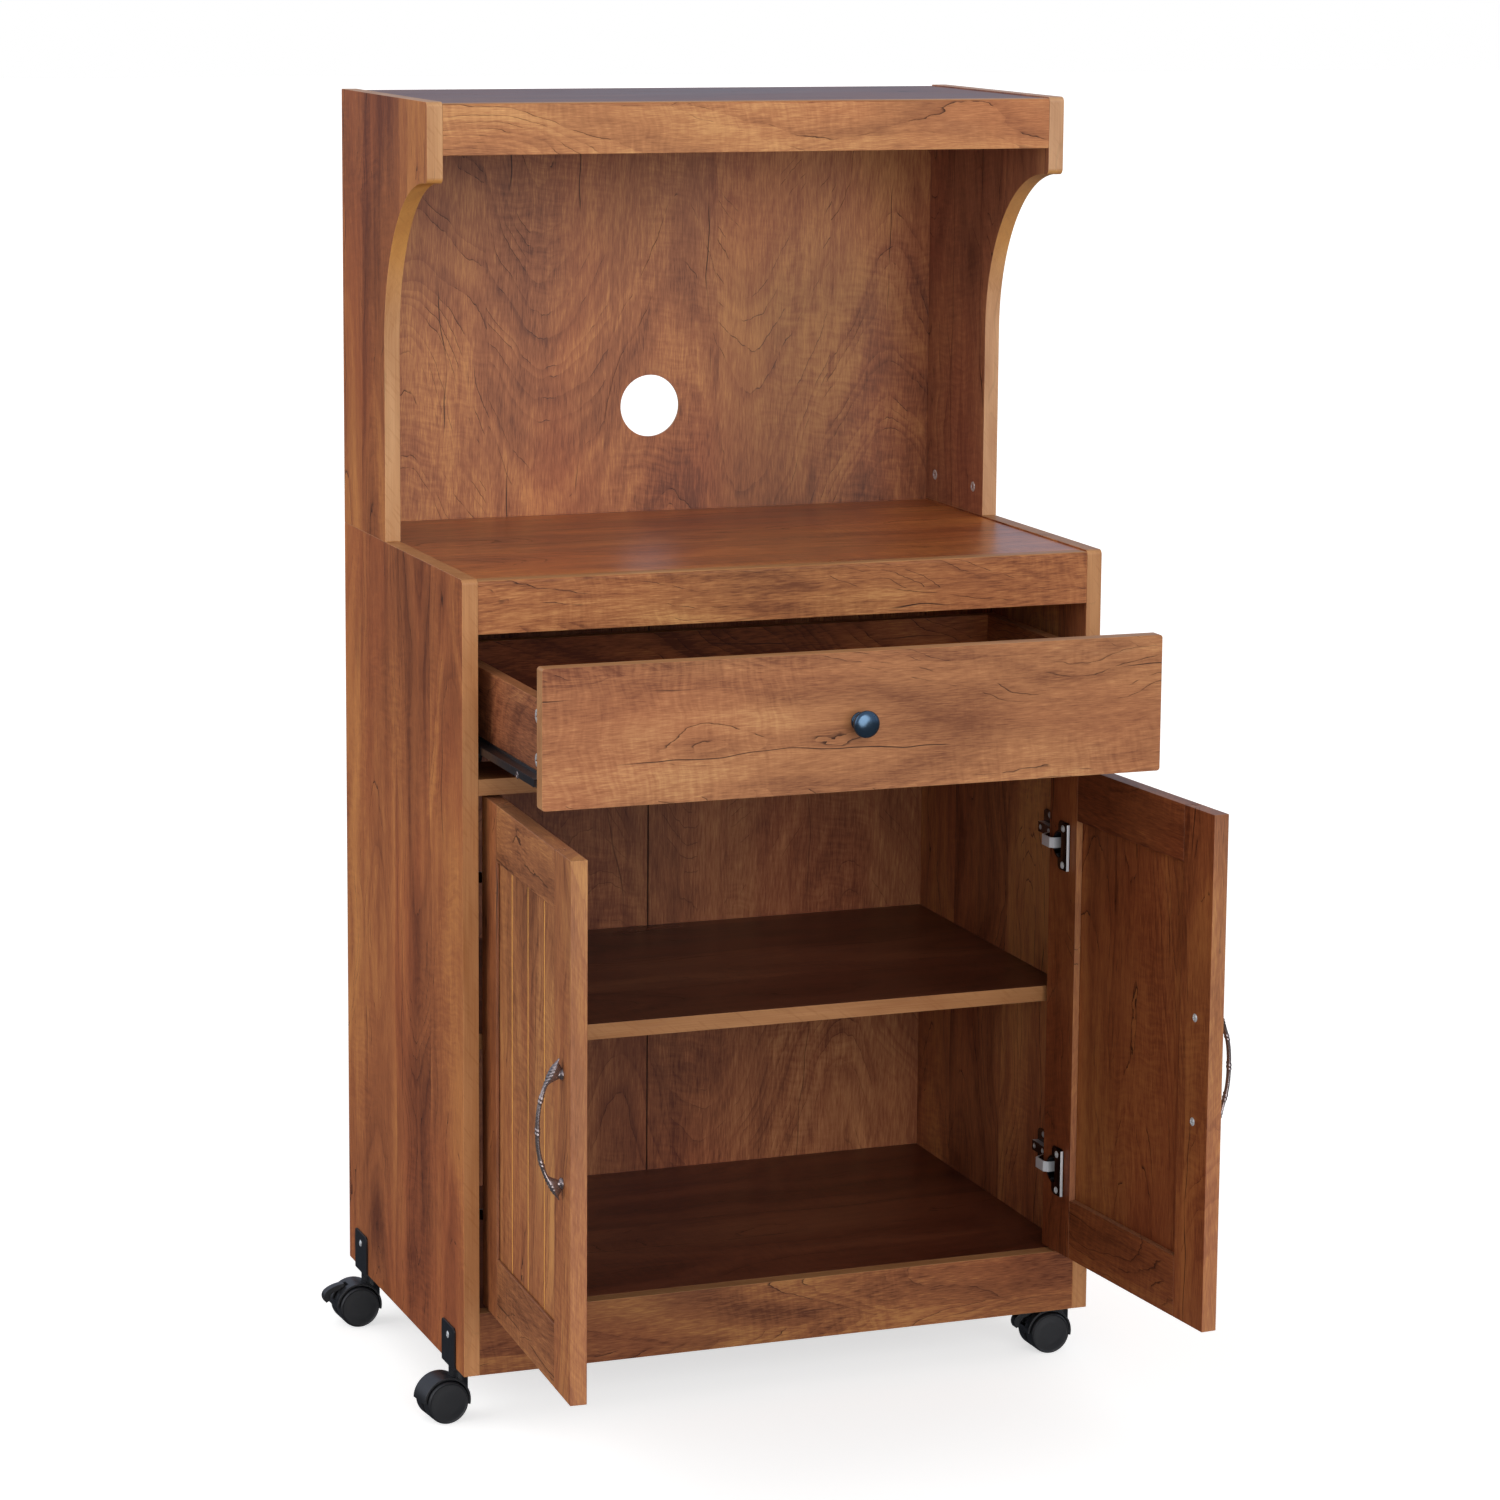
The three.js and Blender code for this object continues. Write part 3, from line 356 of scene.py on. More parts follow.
    # redder leaves beside golden ones, and smoky patches
    red = smoothRange(tree, noise(tree, place, (7.5, 7.5, 3.1), 2.0), 0.42, 0.64, 0.0, 0.5)
    body = mixColour(tree, red, body, grain["redLeaf"], "MULTIPLY")
    smoke = smoothRange(tree, noise(tree, place, (16, 16, 6.5), 4.0, 0.65), 0.56, 0.78, 0.0, 0.5)
    body = mixColour(tree, smoke, body, grain["smokyPatch"], "MULTIPLY")
    marked = maths(tree, "MAXIMUM", maths(tree, "MULTIPLY", line, grain["crackDark"]),
                   maths(tree, "MULTIPLY", knot, grain["knotDark"]))
    tree.links.new(mixColour(tree, marked, body, given["Crack Colour"]), result["Colour"])
    height = maths(tree, "MULTIPLY_ADD", marked, -0.8, maths(tree, "MULTIPLY", fibre, 0.5))
    tree.links.new(height, result["Height"])
    tree.links.new(maths(tree, "MULTIPLY_ADD", marked, 0.5, cloud), result["Sheen Mask"])
    return tree


wear = {"grainPerMetre": 2600, "cloudsPerMetre": 130, "rubsPerMetre": 420, "rubFrom": (0.60, 0.74)}


def makeSurfaceWear():
    # fine unevenness of moulded plastic, plate and paint, with rubbed spots
    tree, given, result = newGroup(
        "surfaceWear", [("Point", "Vector", (0, 0, 0)), ("Rub", "Float", 0.3)],
        [("Grain", "Float"), ("Cloud", "Float"), ("Rubbed", "Float")])
    point = given["Point"]
    tree.links.new(noise(tree, point, (wear["grainPerMetre"],) * 3, 2.0, 0.6), result["Grain"])
    tree.links.new(noise(tree, point, (wear["cloudsPerMetre"],) * 3, 3.0, 0.55), result["Cloud"])
    spots = smoothRange(tree, noise(tree, point, (wear["rubsPerMetre"],) * 3, 3.0, 0.7), *wear["rubFrom"])
    tree.links.new(maths(tree, "MULTIPLY", spots, given["Rub"]), result["Rubbed"])
    return tree


boardSpace = makeBoardSpace()
woodPrint = makeWoodPrint()
surfaceWear = makeSurfaceWear()


# Wood

woodTones = {
    "case": {"dark": (98, 52, 32), "middle": (150, 90, 56), "light": (188, 128, 76)},
    "front": {"dark": (112, 62, 38), "middle": (164, 103, 64), "light": (200, 142, 90)},
    "inside": {"dark": (84, 42, 26), "middle": (128, 74, 46), "light": (164, 106, 66)},
    # painted shade: a darker copy of the print for the shelf and the cabinet's floor, deep inside
    "deep": {"dark": (66, 30, 18), "middle": (104, 56, 36), "light": (134, 80, 50)},
    "edge": {"dark": (150, 98, 58), "middle": (180, 126, 80), "light": (204, 154, 106)},
    "crack": (46, 22, 14),
    "board": ((122, 82, 54), (164, 120, 84)),
}

axisX, axisY, axisZ = (1, 0, 0), (0, 1, 0), (0, 0, 1)


def shaderStart(name):
    material = bpy.data.materials.new(name)
    material.use_nodes = True
    tree = material.node_tree
    shader = tree.nodes["Principled BSDF"]
    return material, tree, shader


def toned(tone, gain):
    # a written colour with its red, green and blue taken up or down
    return tuple(min(value * part, 1.0) for value, part in zip(colour(*tone), gain)) + (1.0,)


boardDefaults = {
    # what a board's own row in boardLooks may change
    "tone": "case", "gain": (1, 1, 1), "contrast": 1.25, "curl": 1.0, "cracks": 1.0, "knots": 1.0, "lean": 1.0,
    "bands": 0.0,
    "edgeGain": (1, 1, 1), "edgePrint": 0.15, "arris": 0.2,
    "under": 0.0,  # painted light: how golden the band turns where it bends to face downwards
    "rearGain": None,  # painted shade: how much darker the inner face is beside the outer one, in red, green and blue
    "rawBack": False,  # bare fibres on the side that faces the wall
    "creaseShade": None,  # where a panel folds, from the cart's left side, with a painted shade line along it
    "toneAndShadeDrift": None,  # (start, end, tone at each, upper end) of a change of tone across a wide panel, partly the print's own tone and partly painted shade
    "rough": 0.42, "specular": 0.2,
}

band = {
    "streaks": (900, 900, 16), "streakShare": 0.7, "swells": (40, 40, 9), "swellShare": 1.1, "base": -0.42,
    "ripples": (60, 60, 260), "rippleFrom": (0.55, 0.72), "rippleDark": 0.3, "golden": (0.96, 0.78, 0.30, 1.0),
}
# the painted shade line along a fold: its half widths in millimetres, and how dark it is
foldShade = {"halfWidth": (1.2, 0.6), "dark": 0.65}
toneAndShadeFade = 110.0  # how far below its upper end the change of tone, partly painted shade, is at its full strength


def woodMaterial(name, across, through, along, seed, **changes):
    board = {**boardDefaults, **changes}
    material, tree, shader = shaderStart(name)
    shader.inputs["Specular IOR Level"].default_value = board["specular"]
    spot = addNode(tree, "ShaderNodeTexCoord")
    x, _, z = split(tree, spot.outputs["Object"])
    laid = useGroup(tree, boardSpace, Point=spot.outputs["Object"], Normal=spot.outputs["Normal"],
                    Across=across, Through=through, Along=along, Seed=seed)
    face, rim = woodTones[board["tone"]], woodTones["edge"]
    rimDark, rimLight = toned(rim["dark"], board["edgeGain"]), toned(rim["light"], board["edgeGain"])
    crack = colour(*woodTones["crack"])
    printed = useGroup(
        tree, woodPrint, Place=laid["Place"], Contrast=board["contrast"], Curl=board["curl"],
        Cracks=board["cracks"], Knots=board["knots"], Lean=board["lean"], Bands=board["bands"],
        **{shade.capitalize(): toned(face[shade], board["gain"]) for shade in ("dark", "middle", "light")},
        **{"Crack Colour": crack})
    # banded edges: paler, with finer streaks and short ripples
    streak = noise(tree, laid["Place"], band["streaks"], 3.0, 0.6)
    swell = noise(tree, laid["Place"], band["swells"], 2.0, 0.5)
    level = maths(tree, "MULTIPLY_ADD", swell, band["swellShare"], band["base"])
    level = maths(tree, "MULTIPLY_ADD", streak, band["streakShare"], level, clamp=True)
    edge = mixColour(tree, level, rimDark, rimLight)
    ripple = smoothRange(tree, noise(tree, laid["Place"], band["ripples"], 1.0), *band["rippleFrom"])
    edge = mixColour(tree, maths(tree, "MULTIPLY", ripple, band["rippleDark"]), edge, rimDark)
    edge = mixColour(tree, board["edgePrint"], edge, printed["Colour"])
    # painted light: the band turns golden where it faces downwards
    if board["under"]:
        upward = split(tree, spot.outputs["Normal"])[2]
        golden = smoothRange(tree, upward, -0.12, -0.55, 0.0, board["under"])
        edge = mixColour(tree, golden, edge, band["golden"], "MULTIPLY")
    body = mixColour(tree, laid["Face"], edge, printed["Colour"])
    # the arris between face and band is a little paler: partly the banding's paler joint, partly a painted
    # highlight
    body = mixColour(tree, maths(tree, "MULTIPLY", laid["Arris"], board["arris"]), body, rimLight)
    # a broad change of tone across a wide panel: partly the print's own tone, partly painted shade
    if board["toneAndShadeDrift"]:
        start, end, low, high, top = board["toneAndShadeDrift"]
        level = smoothRange(tree, x, corner.x + start * mm, corner.x + end * mm)
        level = maths(tree, "MULTIPLY", level, smoothRange(tree, z, top * mm, (top - toneAndShadeFade) * mm))
        tone = mixColour(tree, level, (low, low, low, 1.0), (high, high, high, 1.0))
        body = mixColour(tree, 1.0, body, tone, "MULTIPLY")
    # painted shade: the inner face darker than the outer one
    if board["rearGain"]:
        body = mixColour(tree, laid["Rear"], body, tuple(board["rearGain"]) + (1.0,), "MULTIPLY")
    # painted shade: a dark line along the fold
    if board["creaseShade"]:
        off = maths(tree, "ABSOLUTE", maths(tree, "SUBTRACT", x, corner.x + board["creaseShade"] * mm))
        wide, narrow = foldShade["halfWidth"]
        body = mixColour(tree, smoothRange(tree, off, wide * mm, narrow * mm, 0.0, foldShade["dark"]), body, crack)
    if board["rawBack"]:
        speckle = noise(tree, spot.outputs["Object"], (700, 700, 700), 3.0, 0.7)
        patch = noise(tree, spot.outputs["Object"], (9, 9, 9), 3.0, 0.55)
        level = maths(tree, "MULTIPLY_ADD", patch, 0.7, -0.3)
        level = maths(tree, "MULTIPLY_ADD", speckle, 0.9, level, clamp=True)
        fibres = mixColour(tree, level, *[colour(*tone) for tone in woodTones["board"]])
        body = mixColour(tree, laid["Rear"], body, fibres)
    tree.links.new(body, shader.inputs["Base Color"])
    tree.links.new(maths(tree, "MULTIPLY_ADD", printed["Sheen Mask"], 0.16, board["rough"] - 0.08),
                   shader.inputs["Roughness"])
    addBump(tree, shader, printed["Height"], strength=0.35, distance=0.0003)
    return material


easing = {"clean": 1.0, "from": 32.0}  # flat within the first angle, eased from the second, in degrees


def rounded(nodeName, width):
    # the part again with eased arrises, in the same place
    source = nodes[nodeName]
    mesh = bpy.data.meshes.new(nodeName + "_eased")
    shape = bmesh.new()
    shape.from_mesh(source.data)
    bmesh.ops.remove_doubles(shape, verts=shape.verts, dist=1e-6)
    bmesh.ops.dissolve_limit(shape, angle_limit=math.radians(easing["clean"]), verts=shape.verts,
                             edges=shape.edges)
    for face in shape.faces:
        face.smooth = True
    shape.to_mesh(mesh)
    shape.free()
    piece = bpy.data.objects.new(nodeName + "_eased", mesh)
    bpy.context.scene.collection.objects.link(piece)
    ease = piece.modifiers.new("arris", "BEVEL")
    ease.width = width
    ease.segments = 2
    ease.limit_method = "ANGLE"
    ease.angle_limit = math.radians(easing["from"])
    ease.use_clamp_overlap = False
    weigh = piece.modifiers.new("flat_faces", "WEIGHTED_NORMAL")
    weigh.weight = 100
    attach(piece, source["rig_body"])
    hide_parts(nodeName)
    return piece


def dress(piece, material):
    piece.data.materials.clear()
    piece.data.materials.append(material)
    return piece


def easedPiece(nodeName, width, material):
    piece = dress(rounded(nodeName, width), material)
    return piece


boardLooks = {
    # node: (across, through, along, seed, what differs)
    "base_side_left": (axisY, axisX, axisZ, 1.0,
                       {"gain": (1.17, 1.1, 0.94), "contrast": 1.05, "lean": 0.25, "bands": 0.45,
                        "edgeGain": (1.05, 1.0, 0.97)}),
    # lighter and bluer than the left side: painted light and a painted bluish sheen on the inner face
    "base_side_right": (axisY, axisX, axisZ, 2.3, {"gain": (1.35, 1.4, 1.5), "lean": 0.3, "bands": 0.4}),
    "hutch_side_left": (axisY, axisX, axisZ, 3.1,
                        {"gain": (1.2, 1.14, 0.96), "contrast": 1.0, "lean": 0.25, "bands": 0.45,
                         "under": 1.0, "edgeGain": (1.2, 1.33, 1.5)}),
    # the blue raised here is a painted bluish sheen on the inner face
    "hutch_side_right": (axisY, axisX, axisZ, 4.7,
                         {"gain": (1.12, 1.22, 1.65), "lean": 0.3, "bands": 0.4, "specular": 0.5,
                          "under": 1.0, "edgeGain": (1.2, 1.33, 1.5)}),
    "countertop": (axisY, axisZ, axisX, 5.2,
                   {"gain": (1.38, 1.22, 0.82), "knots": 0.3, "lean": 0.2, "bands": 0.4,
                    "rough": 0.3, "specular": 0.6}),
    "counter_rail": (axisZ, axisY, axisX, 6.9,
                     {"tone": "front", "gain": (1.08, 1.2, 1.14), "contrast": 1.5, "curl": 1.1, "lean": 0.6,
                      "arris": 0.0}),
    "drawer_divider": (axisY, axisZ, axisX, 7.4, {}),
    # the plinth is darker towards the left: partly its tone, partly painted shade
    "plinth_rail": (axisZ, axisY, axisX, 8.8,
                    {"gain": (0.74, 0.78, 0.75), "contrast": 1.5, "lean": 0.6,
                     "toneAndShadeDrift": (100.0, 540.0, 0.84, 1.18, 2000.0)}),
    # the deep tone here and on the shelf is painted shade
    "bottom_panel": (axisY, axisZ, axisX, 9.1,
                     {"tone": "deep", "gain": (0.88, 0.86, 0.98), "lean": 0.3, "rough": 0.3}),
    "shelf": (axisY, axisZ, axisX, 10.6,
              {"tone": "deep", "gain": (1.0, 1.1, 1.3), "lean": 0.3, "edgeGain": (0.88, 0.84, 0.8),
               "rough": 0.3}),
    # painted shade: near-black arrises in the fold's groove and a dark line along the fold; the back is darker
    # left of the fold, partly its tone and partly painted shade
    "base_back": (axisX, axisY, axisZ, 11.2,
                  {"tone": "inside", "gain": (1.18, 1.27, 1.36), "cracks": 0.6, "arris": 1.0,
                   "edgeGain": (0.10, 0.08, 0.08), "rawBack": True, "creaseShade": 312.0,
                   "toneAndShadeDrift": (290.0, 380.0, 0.74, 1.08, 2000.0)}),
    # the back is darker towards the right below the top: partly a darker leaf, partly the painted shadow of the
    # right side
    "hutch_back": (axisX, axisY, axisZ, 12.9,
                   {"gain": (1.22, 1.28, 1.32), "specular": 0.35, "rawBack": True,
                    "toneAndShadeDrift": (300.0, 470.0, 1.03, 0.66, 1090.0)}),
    # painted shade and reflection: the top's print made far darker and more purple than the other boards
    "hutch_top": (axisY, axisZ, axisX, 13.3,
                  {"gain": (0.40, 0.32, 0.36), "lean": 0.3, "rough": 0.38, "specular": 0.3}),
    "hutch_top_rail": (axisZ, axisY, axisX, 14.8,
                       {"tone": "front", "gain": (1.25, 1.45, 1.5), "contrast": 1.0, "lean": 0.5,
                        "arris": 0.0}),
    "drawer_front": (axisZ, axisY, axisX, 15.5,
                     {"tone": "front", "gain": (1.13, 1.31, 1.45), "contrast": 1.0, "curl": 1.1, "lean": 0.8}),
    "drawer_side_left": (axisZ, axisX, axisY, 16.1,
                         {"gain": (1.07, 1.18, 1.29), "contrast": 1.5, "edgePrint": 0.5,
                          "edgeGain": (0.9, 0.8, 0.8)}),
    "drawer_side_right": (axisZ, axisX, axisY, 17.7, {"edgePrint": 0.5, "edgeGain": (0.9, 0.8, 0.8)}),
    "drawer_back": (axisZ, axisY, axisX, 18.4, {"gain": (1.0, 0.88, 0.74), "contrast": 1.5}),
    "drawer_bottom": (axisX, axisZ, axisY, 19.2, {"tone": "inside"}),
}

for nodeName, (across, through, along, seed, changes) in boardLooks.items():
    look = woodMaterial("wood_" + nodeName, across, through, along, seed, **changes)
    if nodeName in ("base_back", "hutch_back", "drawer_bottom"):
        dress(nodes[nodeName], look)
    else:
        easedPiece(nodeName, 0.5 * mm, look)
print("stage: boards")

# The doors' boards are laid out in the doors' own directions as they stand open.
doors = {
    "left": {"open": 92.5, "seed": 20.0, "axis": 30.0}, "right": {"open": -95.0, "seed": 30.0, "axis": 594.0},
    "face": -6.5, "rear": 8.5,  # the door's two sides, from the swing axis
    # the gain on the doors' inner faces is painted shade
    "seedStep": 1.7, "gain": (1.22, 1.36, 1.3), "rearGain": (0.62, 0.46, 0.415),
    # the panel's V-grooves are coloured a bright gold: partly their own paler colour, partly painted light on
    # the groove walls
    "edgeGain": (0.65, 0.74, 1.21), "edgePrint": 0.75, "grooveEdge": 1.0, "grooveGain": (1.5, 1.5, 0.8),
}

for side in ("left", "right"):
    turn = Matrix.Rotation(math.radians(-doors[side]["open"]), 3, "Z")
    wide, thick = tuple(turn @ Vector(axisX)), tuple(turn @ Vector(axisY))
    for step, part in enumerate(("hinge_stile", "lock_stile", "bottom_rail", "top_rail", "panel")):
        nodeName = "door_" + side + "_" + part
        across, along = (axisZ, wide) if part.endswith("rail") else (wide, axisZ)
        panel = part == "panel"
        look = woodMaterial(
            "wood_" + nodeName, across, thick, along, doors[side]["seed"] + step * doors["seedStep"],
            gain=doors["gain"], rearGain=doors["rearGain"], lean=0.3, bands=0.4,
            edgeGain=doors["grooveGain"] if panel else doors["edgeGain"],
            edgePrint=0.0 if panel else doors["edgePrint"], arris=doors["grooveEdge"] if panel else 0.1)
        if panel:
            dress(nodes[nodeName], look)
        else:
            easedPiece(nodeName, 0.6 * mm, look)
print("stage: doors")


# Metal and plastic finishes

def surfaceMaterial(name, base, rough, metal, rub, rubColour, bumpDepth=0.00002, shadeDrop=0.6):
    material, tree, shader = shaderStart(name)
    spot = addNode(tree, "ShaderNodeTexCoord")
    worn = useGroup(tree, surfaceWear, Point=spot.outputs["Object"], Rub=rub)
    full = colour(*base)
    tint = mixColour(tree, maths(tree, "MULTIPLY", worn["Cloud"], 0.6), full,
                     tuple(part * shadeDrop for part in full[:3]) + (1.0,))
    tint = mixColour(tree, worn["Rubbed"], tint, colour(*rubColour))
    tree.links.new(tint, shader.inputs["Base Color"])
    tree.links.new(maths(tree, "MULTIPLY_ADD", worn["Cloud"], 0.2, rough - 0.1), shader.inputs["Roughness"])
    shader.inputs["Metallic"].default_value = metal
    shader.inputs["Specular IOR Level"].default_value = 0.5
    addBump(tree, shader, worn["Grain"], strength=0.5, distance=bumpDepth)
    return material


finishes = {
    # material name, colour, roughness, metallic, share rubbed, rubbed colour, bump in metres, darkest cloud
    "enamel": surfaceMaterial("black_enamel", (22, 22, 24), 0.36, 0.0, 0.1, (90, 90, 92)),
    "housing": surfaceMaterial("moulded_black", (26, 26, 28), 0.40, 0.0, 0.1, (60, 60, 64), 0.00005),
    "tyre": surfaceMaterial("wheel_black", (30, 30, 32), 0.46, 0.0, 0.2, (70, 70, 72), 0.00008),
    "nickel": surfaceMaterial("nickel_plate", (232, 234, 238), 0.36, 0.35, 0.1, (245, 245, 245), 0.00001, 0.8),
    "chrome": surfaceMaterial("bright_chrome", (92, 92, 96), 0.2, 1.0, 0.05, (150, 150, 152), 0.00001),
    "zinc": surfaceMaterial("zinc_screw", (222, 224, 226), 0.30, 0.45, 0.3, (245, 245, 245), 0.00002, 0.7),
    "pewter": surfaceMaterial("aged_pewter", (156, 142, 140), 0.27, 0.8, 0.6, (224, 216, 214), 0.00005, 0.4),
    "gunmetal": surfaceMaterial("blue_gunmetal", (74, 96, 116), 0.23, 0.85, 0.08, (120, 140, 150), 0.00001,
                                0.7),
}


# Mesh pieces are drawn in millimetres about their own +Z and set down in the cart

def place(x, y, z):
    return corner + Vector((x, y, z)) * mm


def aim(x, y, z, direction, roll=0.0):
    turn = Vector(direction).to_track_quat("Z", "Y").to_matrix().to_4x4()
    return (Matrix.Translation(place(x, y, z)) @ turn @ Matrix.Rotation(math.radians(roll), 4, "Z")
            @ Matrix.Scale(mm, 4))


def mirrored(side, x):
    # the same distance in from the cart's left or right side
    return x if side == "left" else cart["width"] - x


def meshPiece(name, points, faces, where, body, look, sharp=35):
    mesh = bpy.data.meshes.new(name)
    shape = bmesh.new()
    made = [shape.verts.new(where @ Vector(point)) for point in points]
    for face in faces:
        shape.faces.new([made[i] for i in face])
    bmesh.ops.recalc_face_normals(shape, faces=shape.faces)
    shape.to_mesh(mesh)
    shape.free()
    mesh.shade_smooth()
    mesh.set_sharp_from_angle(angle=math.radians(sharp))
    piece = bpy.data.objects.new(name, mesh)
    bpy.context.scene.collection.objects.link(piece)
    dress(piece, finishes[look])
    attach(piece, body)
    return piece


def easeCorners(line, reach, steps=4):
    # every inner corner of an open line becomes a short curve
    eased = [Vector(line[0])]
    for before, middle, after in zip(line, line[1:], line[2:]):
        a, b, c = Vector(before), Vector(middle), Vector(after)
        cut = min(reach, (b - a).length * 0.45, (c - b).length * 0.45)
        start, end = b + (a - b).normalized() * cut, b + (c - b).normalized() * cut
        for i in range(steps + 1):
            t = i / steps
            eased.append(start * (1 - t) ** 2 + b * 2 * t * (1 - t) + end * t ** 2)
    return [tuple(point) for point in eased + [Vector(line[-1])]]


def turned(profile, segments):
    # points and faces of a (radius, height) line turned about +Z
    points, faces, rings = [], [], []
    for radius, height in profile:
        count = 1 if radius < 1e-6 else segments
        rings.append([len(points) + i for i in range(count)])
        for i in range(count):
            angle = math.tau * i / segments
            points.append((radius * math.cos(angle), radius * math.sin(angle), height))
    for low, high in zip(rings, rings[1:]):
        for i in range(segments):
            j = (i + 1) % segments
            loop = (low[i % len(low)], low[j % len(low)], high[j % len(high)], high[i % len(high)])
            loop = list(dict.fromkeys(loop))
            if len(loop) > 2:
                faces.append(loop)
    return points, faces


# sizes as shares of the head's radius
screws = {
    "rings": (0.0, 0.12, 0.2, 0.28, 0.36, 0.46, 0.56, 0.66, 0.78, 0.9, 0.98, 1.0), "segments": 40,
    "dome": 0.30, "round": 2.6, "crossWidth": 0.24, "crossLength": 0.62, "crossDepth": 0.22,
    "sunk": 0.3,  # this one in millimetres
}


def screwHead(name, where, radius, body, dome=screws["dome"]):
    # a domed head with a cross recess, sitting on its face
    profile = [(radius * step, radius * dome * (1 - step ** screws["round"])) for step in screws["rings"]]
    profile += [(radius, -screws["sunk"]), (0.0, -screws["sunk"])]
    points, faces = turned(profile, screws["segments"])
    halfWidth, length = radius * screws["crossWidth"] / 2, radius * screws["crossLength"]
    cut = []
    for x, y, z in points:
        inside = z > 0 and min(abs(x), abs(y)) < halfWidth and max(abs(x), abs(y)) < length
        cut.append((x, y, z - radius * screws["crossDepth"] if inside else z))
    return meshPiece(name, cut, faces, where, body, "zinc", 30)


knob = {
    "x": 312.0, "z": 674.25, "segments": 72, "ease": 1.4,
    "profile": [(0, 0), (8.6, 0), (8.6, 1.8), (7.4, 2.6), (7.8, 3.6), (6.2, 5.0), (5.0, 7.6), (5.6, 10.6),
                (9.2, 12.6), (12.0, 14.2), (12.4, 15.8), (11.9, 17.4), (10.4, 18.9), (7.6, 20.1), (4.2, 20.8),
                (0, 21)],
}

points, faces = turned(easeCorners(knob["profile"], knob["ease"]), knob["segments"])
piece = meshPiece("turned_knob", points, faces, aim(knob["x"], -cart["drawerOut"], knob["z"], (0, -1, 0)),
                  "drawer", "gunmetal", 50)
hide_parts("drawer_knob")
print("stage: knob")


doorFrames = {
    # door space to the cart: x from the swing axis to the free edge, y from the outer face inwards
    side: (Matrix.Translation(place(doors[side]["axis"], -doors["face"], 0)) @ Matrix.Diagonal((turnX, 1, 1, 1))
           @ Matrix.Rotation(math.radians(-abs(doors[side]["open"])), 4, "Z") @ Matrix.Scale(mm, 4))
    for side, turnX in (("left", 1), ("right", -1))
}


def onDoor(side, x, face, z, turn=0.0, roll=0.0):
    # a place on a door's outer or inner face; turned by 90 or -90 about X, a piece's +Z points away from it
    return (doorFrames[side] @ Matrix.Translation((x, doors[face], z))
            @ Matrix.Rotation(math.radians(turn), 4, "X") @ Matrix.Rotation(roll, 4, "Z"))


pull = {
    "x": 256.0, "z": 352.5, "holes": 96.0, "overhang": 14.0, "rise": 25.0, "seatRise": 3.0,
    "bowWidth": 2.4, "bowThick": 2.0, "leafWidth": 3.0, "leafThick": 0.2, "roundness": 1.25,
    # shares of the half length
    "leafFrom": (0.55, 0.8), "tipFrom": (0.86, 1.0), "seatFrom": (0.64, 0.76), "seatTo": (0.84, 0.98),
    "tipThin": 0.75, "seatPinch": 0.35,
    "bands": (-0.45, 0.0, 0.45), "beadHeight": 0.7, "beadWidth": 0.7, "beadGap": 1.7, "twist": 1.6,
    "groove": 0.30, "grooveAt": 0.42, "grooveWidth": 0.16, "vein": 0.45, "veinRun": 1.35, "veinSlant": 3.2,
    "veinPitch": 1.6, "veinTop": 0.4,
    "foot": [(0, -0.2), (5.2, -0.2), (5.0, 1.4), (3.6, 3.0), (3.1, 9.5), (0, 9.5)],
    "screwRadius": 3.9, "steps": 160, "sectionPoints": 32,
}


def pullSection(along, reach):
    # one ring of points round the bow, at -1 to 1 of its half length
    far = abs(along)
    arch = math.cos(math.pi / 2 * far ** pull["roundness"])
    height = pull["seatRise"] + (pull["rise"] - 2 * pull["seatRise"]) * arch
    leaf = smoothStep(far, *pull["leafFrom"])
    taper = 1 - smoothStep(far, *pull["tipFrom"]) * pull["tipThin"]
    wide = (pull["bowWidth"] + pull["leafWidth"] * leaf) * taper
    thick = (pull["bowThick"] + pull["leafThick"] * leaf) * taper
    # the leaf runs down to the door between the bow and its tip
    seat = smoothStep(far, *pull["seatFrom"]) * (1 - smoothStep(far, *pull["seatTo"]))
    ring = []
    for k in range(pull["sectionPoints"]):
        turn = math.tau * k / pull["sectionPoints"]
        c, s = math.cos(turn), math.sin(turn)
        bead = 0.0
        for band in pull["bands"]:
            for offset in (-pull["beadGap"], pull["beadGap"]):
                gap = (along - band) * reach + pull["twist"] * c - offset
                bead += math.exp(-(gap / pull["beadWidth"]) ** 2) * pull["beadHeight"]
        # a groove down each side of the bow, and veins on the leaf
        vein = 0.0
        for spot in (-pull["grooveAt"], pull["grooveAt"]):
            vein += pull["groove"] * (1 - leaf) * math.exp(-((c + spot) / pull["grooveWidth"]) ** 2)
        run = along * reach * pull["veinRun"] - abs(c) * pull["veinSlant"] * math.copysign(1, along)
        slant = math.sin(run * pull["veinPitch"])
        vein += pull["vein"] * leaf * taper * slant * max(0.0, pull["veinTop"] - s)
        swell = bead * taper - vein
        deep = thick + swell
        if s > 0:
            deep += seat * (height - thick)
        pinch = 1 - pull["seatPinch"] * seat * max(s, 0.0)
        ring.append(((wide + swell) * c * pinch, -height + deep * s, along * reach))
    return ring


